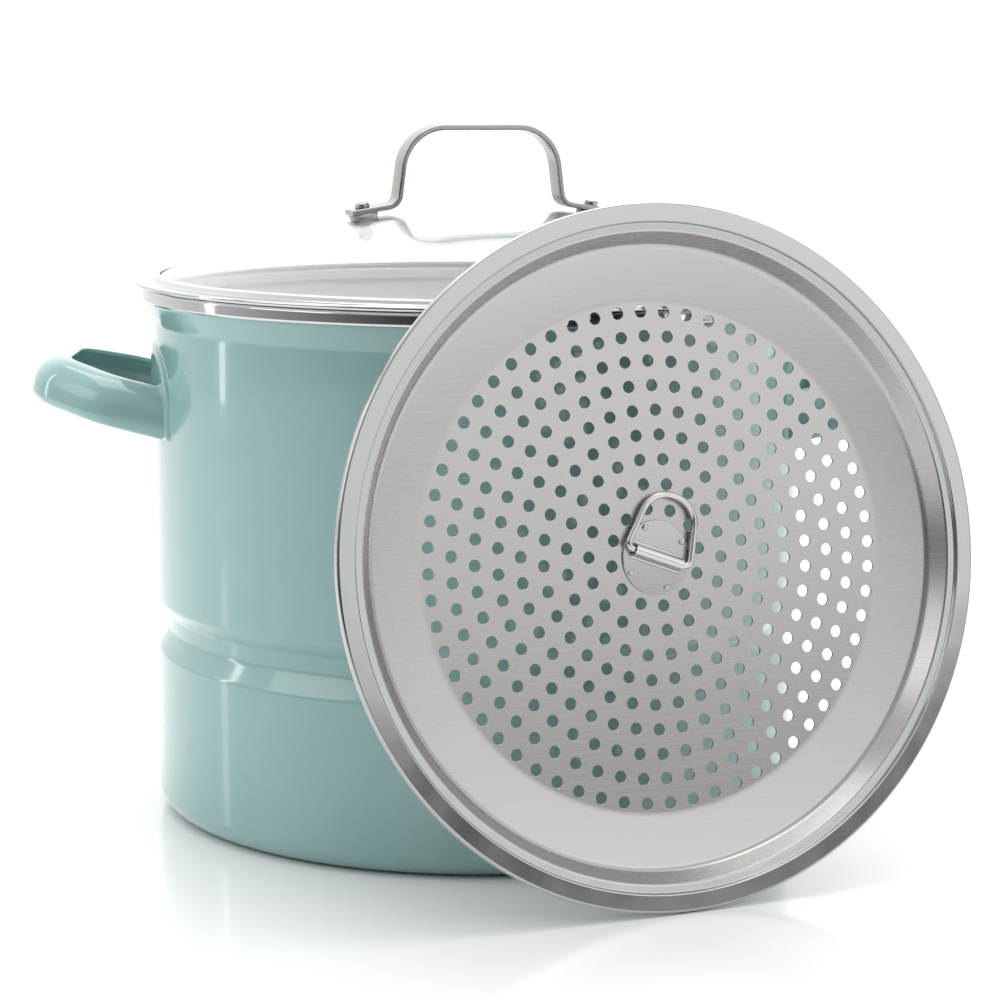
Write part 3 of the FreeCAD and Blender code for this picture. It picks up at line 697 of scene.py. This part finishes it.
    def loop(self, side: Side) -> None:
        """Channel-section loop: rounded outside, hollow inside, tilted up away from the pot.

        Args:
            side: the handle's side.
        """
        outer = self.loop_outer_x - self.loop_pivot_x
        shoulder = self.loop_shoulder_x - self.loop_pivot_x
        start = self.loop_start_x - self.loop_pivot_x
        half, deep, metal, lip = self.loop_height / 2, self.loop_depth / 2, self.loop_sheet, self.loop_lip
        centre, low, high = outer - deep, self.loop_round_low, self.loop_round_high
        section = rounded([
            (-deep, -half, lip), (deep, -half, low), (deep, half, high), (-deep, half, lip),
            (-deep, half - metal, lip), (deep - metal, half - metal, high - metal),
            (deep - metal, metal - half, low - metal), (-deep, metal - half, lip),
        ])
        bend = self.loop_outer_y * self.loop_bend
        path = flat_path([
            (start, -self.loop_root_y), (shoulder, -self.loop_root_y, self.loop_outer_y),
            (centre, -self.loop_outer_y, bend), (centre, self.loop_outer_y, bend),
            (shoulder, self.loop_root_y, self.loop_outer_y), (start, self.loop_root_y),
        ], Plane.LEVEL, step=3)
        name = f"{side.word}_handle_loop"
        piece = sweep(f"{name}_enamelled", path, section)
        self.seat(piece, len(section))
        turn = Matrix.Rotation(0 if side is Side.RIGHT else math.pi, 4, "Z")
        raised = Matrix.Translation((self.loop_pivot_x * MM, 0, self.loop_root_z * MM))
        piece.data.transform(turn @ raised @ Matrix.Rotation(-math.radians(self.loop_rise), 4, "Y"))
        dress(piece, Body.POT, Slot.ENAMEL, (name,), AQUA_ENAMEL)

    def seat(self, loop: Object, ring: int) -> None:
        """Slide both ends of a loop along its arms until they sit on the round face of the base plate.

        Args:
            loop: the loop, still in its own level frame.
            ring: how many vertices each end has.
        """
        rise = math.radians(self.loop_rise)
        face = (self.body_radius + self.pad_thickness - self.loop_bite) * MM
        vertices = loop.data.vertices
        for vertex in list(vertices[:ring]) + list(vertices[-ring:]):
            reach = math.sqrt(face ** 2 - vertex.co.y ** 2)
            vertex.co.x = (reach - self.loop_pivot_x * MM + vertex.co.z * math.sin(rise)) / math.cos(rise)


# ------------------------------------------------------------------ lid
@dataclass
class Lid:
    """Glass dome in a stainless ring, with a bent strap handle screwed through the glass."""

    glass_sphere: float = 347.0
    glass_thickness: float = 4.0
    glass_radius: float = 144.8
    glass_sag: float = 0.1
    glass_rim: float = 0.2
    glass_steps: int = 48
    ring_sheet: float = 0.9
    ring_low: float = 238.3
    ring_top: float = 240.4
    ring_lip_top: float = 242.9
    ring_seat: float = 236.8
    skirt_radius: float = 145.8
    strap_width: float = 12.0
    strap_sheet: float = 2.4
    strap_top_half: float = 34.5
    strap_leg_half: float = 39.0
    strap_bend_outer: float = 19.5
    strap_bend_foot: float = 6.0
    strap_edge: float = 0.7
    foot_radius: float = 54.0
    foot_length: float = 6.5
    gasket_height: float = 1.6
    gasket_radius: float = 6.4
    washer_height: float = 0.9
    washer_radius: float = 5.6
    screw_radius: float = 2.0
    screw_clearance: float = 0.1
    screw_head_radius: float = 3.3
    screw_head_height: float = 2.4
    recess_radius: float = 1.2
    recess_depth: float = 0.9
    nut_across: float = 7.0
    nut_height: float = 3.4
    nut_cap_height: float = 5.4
    sphere_z: float = field(init=False)
    lean: float = field(init=False)
    yaw: float = field(init=False)

    def __post_init__(self) -> None:
        """Work out where the feet stand from the frame."""
        self.sphere_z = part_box("lid_glass")[1].z / MM - self.glass_sphere
        self.lean = math.asin(self.foot_radius / self.glass_sphere)
        low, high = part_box("right_foot_screw")
        self.yaw = math.atan2(low.y + high.y, low.x + high.x)

    def build(self) -> None:
        """Build and dress every piece of the lid."""
        self.glass()
        self.ring()
        self.strap()
        for side in Side:
            self.fasteners(side)

    def foot(self, side: Side, height: float = 0.0) -> Matrix:
        """Frame on the glass at one foot, with Z along the glass's normal.

        Args:
            side: the foot's side.
            height: how far the frame is raised along the normal, in millimetres.

        Returns:
            The frame, in metres.
        """
        turn = Matrix.Rotation(self.yaw, 4, "Z") @ Matrix.Rotation(side.value * self.lean, 4, "Y")
        return (Matrix.Translation((0, 0, self.sphere_z * MM)) @ turn
                @ Matrix.Translation((0, 0, (self.glass_sphere + height) * MM)))

    def glass(self) -> None:
        """Dome of constant thickness."""
        outer, inner, steps = self.glass_sphere, self.glass_sphere - self.glass_thickness, self.glass_steps
        outline = []
        for radius, order in ((inner, range(steps + 1)), (outer, range(steps, -1, -1))):
            widest = math.asin((self.glass_radius - self.glass_rim) / radius)
            for step in order:
                angle = widest * step / steps
                outline.append(Vector((radius * math.sin(angle), self.sphere_z + radius * math.cos(angle))))
        vertices, faces = lathe_mesh(outline, 256, closed=False)
        piece = mesh_object("lid_glass_dome", vertices, faces, sharp=50)
        dress(piece, Body.LID, Slot.GLASS, ("lid_glass",), CLEAR_GLASS)

    def ring(self) -> None:
        """Rolled stainless ring: skirt, channel round the glass, lip over its edge and thick outer brim."""
        low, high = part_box("lid_ring")
        metal, edge = self.ring_sheet, high.x / MM
        skirt, skirt_low = self.skirt_radius, low.z / MM
        lip, seat, top = self.ring_lip_top, self.ring_seat, self.ring_top
        piece = lathe("lid_ring_rolled", [
            (skirt - metal, skirt_low, 0.4), (skirt, skirt_low, 0.4), (skirt, self.ring_low, 0.6),
            (edge, self.ring_low, 0.95), (edge, top, 0.95), (skirt + metal * 1.8, top, metal * 0.8),
            (skirt + metal * 0.5, lip - metal * 0.7, metal * 0.6), (skirt - metal * 2.7, lip, 0.35),
            (skirt - metal * 2.7, lip - metal * 0.83, 0.3), (skirt - metal, lip - metal * 1.5, 0.2),
            (skirt - metal, seat), (skirt - metal * 3.6, seat, 0.3),
            (skirt - metal * 3.6, seat - metal, 0.3), (skirt - metal, seat - metal, 0.4),
        ], ROUND_STEPS)
        dress(piece, Body.LID, Slot.POLISHED, ("lid_ring",), RIM_STEEL)

    def strap(self) -> None:
        """Bent strap with rounded edges; its feet lie along the glass."""
        stand = self.glass_sphere + self.gasket_height + self.strap_sheet / 2
        screw_x, screw_z = stand * math.sin(self.lean), self.sphere_z + stand * math.cos(self.lean)
        rise = (screw_x - self.strap_leg_half) * math.tan(self.lean)
        end_x = screw_x + self.foot_length * math.cos(self.lean)
        end_z = screw_z - self.foot_length * math.sin(self.lean)
        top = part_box("lid_handle")[1].z / MM - self.strap_sheet / 2
        half = [(self.strap_top_half, top, self.strap_bend_outer),
                (self.strap_leg_half, screw_z + rise, self.strap_bend_foot), (end_x, end_z)]
        mirrored = [(-c[0], *c[1:]) for c in reversed(half)]
        path = flat_path(mirrored + half, Plane.UPRIGHT, step=3)
        thick, wide, edge = self.strap_sheet / 2, self.strap_width / 2, self.strap_edge
        section = rounded([(-thick, -wide, edge), (thick, -wide, edge), (thick, wide, edge),
                           (-thick, wide, edge)], 15)
        piece = sweep("lid_handle_strap", path, section, Vector((0, -1, 0)))
        piece.data.transform(Matrix.Rotation(self.yaw, 4, "Z"))
        dress(piece, Body.LID, Slot.POLISHED, ("lid_handle",), STRAP_STEEL)

    def fasteners(self, side: Side) -> None:
        """Screw, gaskets, washer and cap nut of one foot, stacked along the glass's normal.

        Args:
            side: the foot's side.
        """
        bore = self.screw_radius + self.screw_clearance
        under = -self.glass_thickness - self.glass_sag
        stack = (
            ("foot_gasket", 0.0, self.gasket_radius, self.gasket_height, Slot.SILICONE, SOFT_SILICONE),
            ("under_gasket", under - self.gasket_height, self.gasket_radius, self.gasket_height,
             Slot.SILICONE, SOFT_SILICONE),
            ("under_washer", under - self.gasket_height - self.washer_height, self.washer_radius,
             self.washer_height, Slot.POLISHED, BRIGHT_STEEL),
        )
        for word, height, radius, thick, slot, finish in stack:
            soft = thick * 0.3      # rounding of a turned disc's edges
            name = f"{side.word}_{word}"
            piece = lathe(f"{name}_turned", [(bore, 0.0), (radius, 0.0, soft), (radius, thick, soft),
                                             (bore, thick)], 64)
            piece.data.transform(self.foot(side, height))
            dress(piece, Body.LID, slot, (name,), finish)
        self.screw(side)
        self.cap_nut(side)

    def screw(self, side: Side) -> None:
        """Low domed head with a shallow driver recess, and the shank through the stack.

        Args:
            side: the foot's side.
        """
        below = (self.glass_thickness + self.glass_sag + 2 * self.gasket_height + self.strap_sheet
                 + self.washer_height + self.nut_height)
        head, top = self.screw_head_radius, self.screw_head_height
        floor = top - self.recess_depth
        piece = lathe(f"{side.word}_foot_screw_turned", [
            (0.0, -below), (self.screw_radius, -below), (self.screw_radius, 0.0), (head, 0.0, 0.3),
            (head, top, 1.3), (self.recess_radius, top, 0.2), (self.recess_radius - 0.2, floor, 0.2),
            (0.0, floor),
        ], 64, closed=False)
        piece.data.transform(self.foot(side, self.gasket_height + self.strap_sheet))
        dress(piece, Body.LID, Slot.POLISHED, (f"{side.word}_foot_screw",), STRAP_STEEL)

    def cap_nut(self, side: Side) -> None:
        """Hexagonal nut with a domed cap, hanging under the glass.

        Args:
            side: the foot's side.
        """
        flat = self.nut_across / 2
        cap = flat - 0.5
        outline = [(self.screw_radius + 0.05, 0.0), (flat * 1.12, 0.0, 0.3),
                   (flat * 1.15, self.nut_height, 0.5), (cap, self.nut_height + 0.1),
                   (cap, self.nut_cap_height, 2.4), (0.0, self.nut_cap_height)]
        rows = rounded(outline, 15, closed=False)
        vertices, faces = lathe_mesh(rows, 72, closed=False)
        for vertex in vertices:
            reach = math.hypot(vertex.x, vertex.y)
            if vertex.z > self.nut_height + 0.05 or reach < cap - 0.1:
                continue
            off_flat = math.atan2(vertex.y, vertex.x) % (math.pi / 3) - math.pi / 6
            limit = flat / math.cos(off_flat)
            if reach > limit:
                vertex.x *= limit / reach
                vertex.y *= limit / reach
        piece = mesh_object(f"{side.word}_cap_nut_formed", vertices, faces, sharp=20)
        under = -(self.glass_thickness + self.glass_sag + self.gasket_height + self.washer_height)
        piece.data.transform(self.foot(side, under) @ Matrix.Rotation(math.pi, 4, "X"))
        dress(piece, Body.LID, Slot.POLISHED, (f"{side.word}_cap_nut",), BRIGHT_STEEL)


# ------------------------------------------------------------------ rack
@dataclass
class Rack:
    """Perforated stainless dish with a riveted saddle and a D-shaped wire ring at its centre."""

    sheet: float = 0.9
    radius: float = 143.0
    flat_radius: float = 103.3
    plate_radius: float = 104.5
    slope_radius: float = 126.5
    slope_rise: float = 3.9
    step_radius: float = 131.6
    step_rise: float = 12.0
    flange_inner: float = 135.4
    flange_rise: float = 13.3
    rim_turn: float = 3.4
    hole_radius: float = 2.5
    ring_step: float = 10.0
    first_ring: int = 2
    last_ring: int = 10
    holes_per_ring: int = 6
    phase: float = 0.24
    phase_step: float = 0.6
    hole_sides: int = 28
    hole_broken: float = 0.14
    hole_bevel: float = 0.12
    dish_segments: int = 288
    crisp_turn: float = 30.0
    weld_gap: float = 0.001
    flat_normal: float = 0.9999
    saddle_sheet: float = 0.8
    saddle_radius: float = 15.2
    saddle_half: float = 11.2
    wire_radius: float = 1.4
    wire_gap: float = 0.35
    ring_half_width: float = 15.0
    ring_corner: float = 2.6
    ring_shoulder: float = 10.6
    ring_height: float = 27.2
    ring_bend: float = 11.4
    wire_sides: int = 24
    rivet_circle: float = 13.2
    rivet_angles: tuple[float, ...] = (45, 130, 226, 308)
    placement: Matrix = field(init=False)
    on_plate: Matrix = field(init=False)

    def __post_init__(self) -> None:
        """Set the rack's frame from the joints: Z is the dish's outward normal, Y climbs the rack."""
        joints = {joint["name"]: joint for joint in frame["joints"]}
        hinge = joints["lifter_hinge"]
        normal = Vector(joints["rack_take_off"]["axis"]).normalized()
        across = Vector((-normal.y, normal.x, 0)).normalized()
        climb = normal.cross(across)
        bar = Vector(hinge["axis"])
        wire_height = self.sheet + self.saddle_sheet + self.wire_gap + self.wire_radius
        centre = Vector(hinge["pos_m"]) - normal * wire_height * MM
        turned = Matrix((across, climb, normal)).transposed().to_4x4()
        self.placement = Matrix.Translation(centre) @ turned
        twist = math.atan2(bar.dot(climb), bar.dot(across))
        self.on_plate = (self.placement @ Matrix.Translation((0, 0, self.sheet * MM))
                         @ Matrix.Rotation(twist, 4, "Z"))

    def build(self) -> None:
        """Build and dress every piece of the rack and its lifter."""
        self.plate()
        self.saddle()
        self.rivets()
        self.ring()

    def holes(self) -> Points:
        """Centres of the holes: rings ten millimetres apart, each with six more holes than the last."""
        centres = []
        for ring in range(self.first_ring, self.last_ring + 1):
            count = self.holes_per_ring * ring
            share = (self.phase + self.phase_step * (ring - self.first_ring)) % 1.0
            centres += [circle_point(self.ring_step * ring, 2 * math.pi * (step + share) / count)
                        for step in range(count)]
        return centres

    def plate(self) -> None:
        """Flat perforated centre welded to the turned shoulder, wall, step, flange and rim."""
        vertices, faces = self.perforated_disc()
        metal, edge = self.sheet, self.radius
        rise1, rise2, rise3 = self.slope_rise, self.step_rise, self.flange_rise
        dish = rounded([
            (self.flat_radius, metal), (self.plate_radius, metal, 11.7),
            (self.slope_radius, rise1 + metal * 0.8, 4.0), (self.step_radius, rise2 + metal * 0.5, 1.4),
            (self.flange_inner - 0.5, rise2 + metal * 0.7, 0.5), (self.flange_inner, rise3 + metal, 0.7),
            (edge, rise3 + metal, 1.1), (edge, rise3 + metal - self.rim_turn, 0.3),
            (edge - metal, rise3 + metal - self.rim_turn, 0.3), (edge - metal, rise3, 0.4),
            (self.flange_inner + metal, rise3, 0.4), (self.flange_inner + 0.5, rise2 - 0.1, 0.4),
            (self.step_radius + metal, rise2 - metal * 0.5, 0.9),
            (self.slope_radius + 0.7, rise1 - 0.2, 3.0), (self.plate_radius, 0.0, 12.6),
            (self.flat_radius, 0.0),
        ], 6, closed=False)
        more, quads = lathe_mesh(dish[::-1], self.dish_segments, closed=False)
        base = len(vertices)
        vertices += more
        faces += [tuple(base + i for i in quad) for quad in quads]
        piece = mesh_object("rack_plate_pressed", vertices, faces, sharp=self.crisp_turn)
        self.weld(piece)
        self.polish_flange(piece)
        settle(piece, self.placement)
        dress(piece, Body.RACK, Slot.BRUSHED, ("rack_plate",), RACK_STEEL, FLANGE_STEEL)

    def polish_flange(self, piece: Object) -> None:
        """Give the step, the flange and the turned rim the second, glossier finish.

        Args:
            piece: the plate, still in its own frame.
        """
        bright = [int(math.hypot(*face.center[:2]) > self.step_radius * MM) for face in piece.data.polygons]
        piece.data.polygons.foreach_set("material_index", bright)

    def weld(self, piece: Object) -> None:
        """Join vertices that lie on each other, mark the crisp edges again and shade flat faces flat.

        Args:
            piece: the plate, still in its own frame.
        """
        work = bmesh.new()
        work.from_mesh(piece.data)
        bmesh.ops.remove_doubles(work, verts=work.verts, dist=self.weld_gap * MM)
        work.to_mesh(piece.data)
        work.free()
        piece.data.set_sharp_from_angle(angle=math.radians(self.crisp_turn))
        curved = [abs(face.normal.z) < self.flat_normal for face in piece.data.polygons]
        piece.data.polygons.foreach_set("use_smooth", curved)

    def perforated_disc(self) -> tuple[Points, Faces]:
        """Sheet disc with punched holes whose edges are slightly broken.

        Returns:
            Vertices and faces, open at the disc's outer edge.
        """
        centres = self.holes()
        flat, kept, new_index = self.punched_face(centres)
        count, sides = len(flat), self.hole_sides
        vertices = [Vector((v.x, v.y, self.sheet)) for v in flat] + [v.to_3d() for v in flat]
        faces = kept + [tuple(count + i for i in triangle[::-1]) for triangle in kept]
        for hole, centre in enumerate(centres):
            first = self.dish_segments + hole * sides
            rim = [new_index[first + step] for step in range(sides)]
            levels = [rim]
            for height in (self.sheet - self.hole_bevel, self.hole_bevel):
                levels.append(list(range(len(vertices), len(vertices) + sides)))
                wall = (centre + spoke for spoke in spokes(self.hole_radius, sides))
                vertices += [Vector((point.x, point.y, height)) for point in wall]
            levels.append([count + i for i in rim])
            for high, low in zip(levels, levels[1:]):
                for step in range(sides):
                    after = (step + 1) % sides
                    faces.append((high[step], high[after], low[after], low[step]))
        return vertices, faces

    def punched_face(self, centres: Points) -> tuple[Points, Faces, dict[int, int]]:
        """Fill the disc between its edge and its holes with triangles.

        Args:
            centres: the holes' centres.

        Returns:
            Flat points, triangles, and the point that each outline vertex became: first the disc's
            edge, then hole after hole.
        """
        outlines = [spokes(self.flat_radius, self.dish_segments)]
        mouth = spokes(self.hole_radius + self.hole_broken, self.hole_sides)
        outlines += [[centre + spoke for spoke in mouth] for centre in centres]
        points: Points = []
        edges: list[tuple[int, int]] = []
        for outline in outlines:
            first, size = len(points), len(outline)
            points += outline
            edges += [(first + step, first + (step + 1) % size) for step in range(size)]
        flat, _, triangles, sources, _, _ = geometry.delaunay_2d_cdt(points, edges, [], 0, 1e-6)
        tree = flat_tree(centres)
        kept = []
        for triangle in triangles:
            middle = sum((flat[i] for i in triangle), Vector((0, 0))) / 3
            _, _, distance = tree.find(middle.to_3d())
            if distance > self.hole_radius:
                kept.append(tuple(triangle))
        return flat, kept, {source: i for i, origin in enumerate(sources) for source in origin}

    def saddle(self) -> None:
        """Round plate whose middle is pressed up into a half-round channel over the ring's bar."""
        metal, radius = self.saddle_sheet, self.saddle_radius
        bore = self.wire_radius + self.wire_gap
        axis = metal + self.wire_gap + self.wire_radius
        disc = lathe("lifter_saddle_disc", [
            (0.0, 0.05), (radius, 0.05, 0.2), (radius, metal, 0.35), (0.0, metal)], 96, closed=False)
        outer = bore + metal
        foot, crown, arc, inner_arc = outer + 1.2, axis + outer, outer * 0.96, bore * 0.96
        arch = rounded([
            (-foot, 0.1), (-foot, metal), (-outer, metal, 0.9), (-outer, crown, arc),
            (outer, crown, arc), (outer, metal, 0.9), (foot, metal), (foot, 0.1), (bore, 0.1),
            (bore, axis + bore, inner_arc), (-bore, axis + bore, inner_arc), (-bore, 0.1),
        ])
        half = self.saddle_half
        channel = sweep("lifter_saddle_channel", [Vector((half, 0, 0)), Vector((-half, 0, 0))], arch)
        for piece, finish in ((disc, RACK_STEEL), (channel, WIRE_STEEL)):
            settle(piece, self.on_plate)
            dress(piece, Body.RACK, Slot.BRUSHED, ("lifter_saddle",), finish)

    def rivets(self) -> None:
        """Four small rivet heads at the saddle's corners, as one group."""
        rows = rounded([(0.0, 1.15), (0.7, 1.1, 0.6), (1.2, 0.5, 0.3), (1.25, -0.1)], 15, closed=False)
        vertices: Points = []
        faces: Faces = []
        for angle in self.rivet_angles:
            where = circle_point(self.rivet_circle, math.radians(angle)).to_3d()
            where.z = self.saddle_sheet
            head, quads = lathe_mesh(rows, 32, closed=False)
            base = len(vertices)
            vertices += [v + where for v in head]
            faces += [tuple(base + i for i in quad[::-1]) for quad in quads]
        piece = mesh_object("lifter_rivet_heads", vertices, faces)
        settle(piece, self.on_plate)
        dress(piece, Body.RACK, Slot.BRUSHED, ("lifter_rivets",), WIRE_STEEL)

    def ring(self) -> None:
        """D-shaped wire ring: straight bar, tight corners, arms that close in, round top."""
        top = self.ring_height - self.wire_radius
        path = flat_path([
            (0.0, 0.0), (self.ring_half_width, 0.0, self.ring_corner),
            (self.ring_shoulder, top, self.ring_bend), (-self.ring_shoulder, top, self.ring_bend),
            (-self.ring_half_width, 0.0, self.ring_corner),
        ], Plane.LEVEL, step=6, closed=True)
        piece = sweep("lifter_ring_wire", path, spokes(self.wire_radius, self.wire_sides))
        height = (self.saddle_sheet + self.wire_gap + self.wire_radius) * MM
        settle(piece, self.on_plate @ Matrix.Translation((0, 0, height)))
        dress(piece, Body.LIFTER, Slot.POLISHED, ("lifter_ring",), WIRE_STEEL)


# ------------------------------------------------------------------ studio
@dataclass(frozen=True)
class Softbox:
    """Rectangular diffused lamp that faces the object."""

    name: str
    place: tuple[float, float, float]
    size: tuple[float, float]
    watts: float

    def hang(self, target: Vector) -> None:
        """Add the lamp and turn it to a point.

        Args:
            target: the point that the lamp faces, in metres.
        """
        data = bpy.data.lights.new(self.name, "AREA")
        data.shape = "RECTANGLE"
        data.size, data.size_y = self.size
        data.energy = self.watts
        light = bpy.data.objects.new(self.name, data)
        light.location = self.place
        light.rotation_euler = (target - Vector(self.place)).to_track_quat("-Z", "Y").to_euler()
        bpy.context.scene.collection.objects.link(light)


@dataclass
class Studio:
    """Pale glossy table, white sweep of light and the camera."""

    camera_place: tuple[float, float, float] = (0.006, -1.317, 0.343)
    pitch: float = 8.83
    yaw: float = -0.21
    roll: float = 0.43
    lens: float = 104.4
    sensor: float = 36.0
    floor_radius: float = 1.4
    floor_gap: float = 0.0002
    front_glow: float = 0.05
    back_glow: float = 1.2
    sky_glow: float = 0.45
    low_right_glow: float = 1.25
    lamp_target: tuple[float, float, float] = (0, 0, 0.15)
    lamps: tuple[Softbox, ...] = (
        Softbox("softbox_left", (-1.8, -0.85, 1.2), (1.2, 1.2), 6.4),
        Softbox("softbox_top", (0.0, 0.4, 2.4), (2.0, 2.0), 25.0),
        Softbox("panel_right", (1.7, -1.5, 0.95), (1.6, 1.5), 7.0),
        Softbox("strip_left", (-0.85, 0.04, 0.4), (0.05, 0.7), 0.6),
    )

    def build(self) -> None:
        """Set up the floor, the light and the camera."""
        self.floor()
        self.world()
        for lamp in self.lamps:
            lamp.hang(Vector(self.lamp_target))
        self.camera()
        bpy.context.scene.view_settings.view_transform = "Standard"

    def floor(self) -> None:
        """White lacquered table top."""
        vertices, faces = lathe_mesh([Vector((0, 0)), Vector((self.floor_radius, 0))], 128, closed=False)
        floor = mesh_object("table_top", vertices, [f[::-1] for f in faces], scale=1.0)
        floor.location.z = min(0.0, CAD_BOX[0][2]) - self.floor_gap
        floor.data.materials.append(TABLE_LACQUER.material())

    def world(self) -> None:
        """White surround: bright behind, above and low on the right, dark on the camera's side.

        Only light and reflections meet that difference: to the camera the surround is plain white.
        """
        world = bpy.data.worlds.new("studio_sweep")
        bpy.context.scene.world = world
        world.use_nodes = True
        tree = world.node_tree
        tree.nodes.clear()
        way = add_node(tree, "TexCoord").outputs["Generated"]
        axes = add_node(tree, "SeparateXYZ", links={0: way})
        depth = add_node(tree, "MapRange",
                         {"From Min": -0.95, "From Max": 1.0, "To Min": self.front_glow,
                          "To Max": self.back_glow}, {"Value": axes.outputs["Y"]})
        sky = add_node(tree, "MapRange",
                       {"From Min": 0.05, "From Max": 0.5, "To Min": 0.0, "To Max": self.sky_glow},
                       {"Value": axes.outputs["Z"]})
        above = add_node(tree, "Math", {"operation": "ADD"},
                         {0: depth.outputs[0], 1: sky.outputs[0]})
        below = add_node(tree, "MapRange",
                         {"From Min": -0.01, "From Max": -0.08, "To Min": 0.0, "To Max": self.low_right_glow},
                         {"Value": axes.outputs["Z"]})
        right = add_node(tree, "MapRange",
                         {"From Min": 0.0, "From Max": 0.4, "To Min": 0.0, "To Max": 1.0},
                         {"Value": axes.outputs["X"]})
        total = add_node(tree, "Math", {"operation": "MULTIPLY_ADD"},
                         {0: below.outputs[0], 1: right.outputs[0], 2: above.outputs[0]})
        seen = add_node(tree, "LightPath").outputs["Is Camera Ray"]
        lit = add_node(tree, "Math", {"operation": "MAXIMUM"}, {0: total.outputs[0], 1: seen})
        back = add_node(tree, "Background", {"Color": (1, 1, 1, 1)}, {"Strength": lit.outputs[0]})
        add_node(tree, "OutputWorld", links={"Surface": back.outputs[0]})

    def camera(self) -> None:
        """Long-lens camera that looks slightly down."""
        data = bpy.data.cameras.new("camera")
        data.lens = self.lens
        data.sensor_width = self.sensor
        camera = bpy.data.objects.new("camera", data)
        aim = (Matrix.Rotation(math.radians(self.yaw), 4, "Z")
               @ Matrix.Rotation(math.radians(90 - self.pitch), 4, "X")
               @ Matrix.Rotation(math.radians(self.roll), 4, "Z"))
        camera.matrix_world = Matrix.Translation(self.camera_place) @ aim
        bpy.context.scene.collection.objects.link(camera)
        bpy.context.scene.camera = camera


def main() -> None:
    """Build the whole visual model in order."""
    logging.basicConfig(level=logging.INFO, format="%(name)s: %(message)s")
    for assembly in (Pot(), Lid(), Rack(), Studio()):
        assembly.build()
        LOG.info("%s done", type(assembly).__name__)


if __name__ == "__main__":
    main()
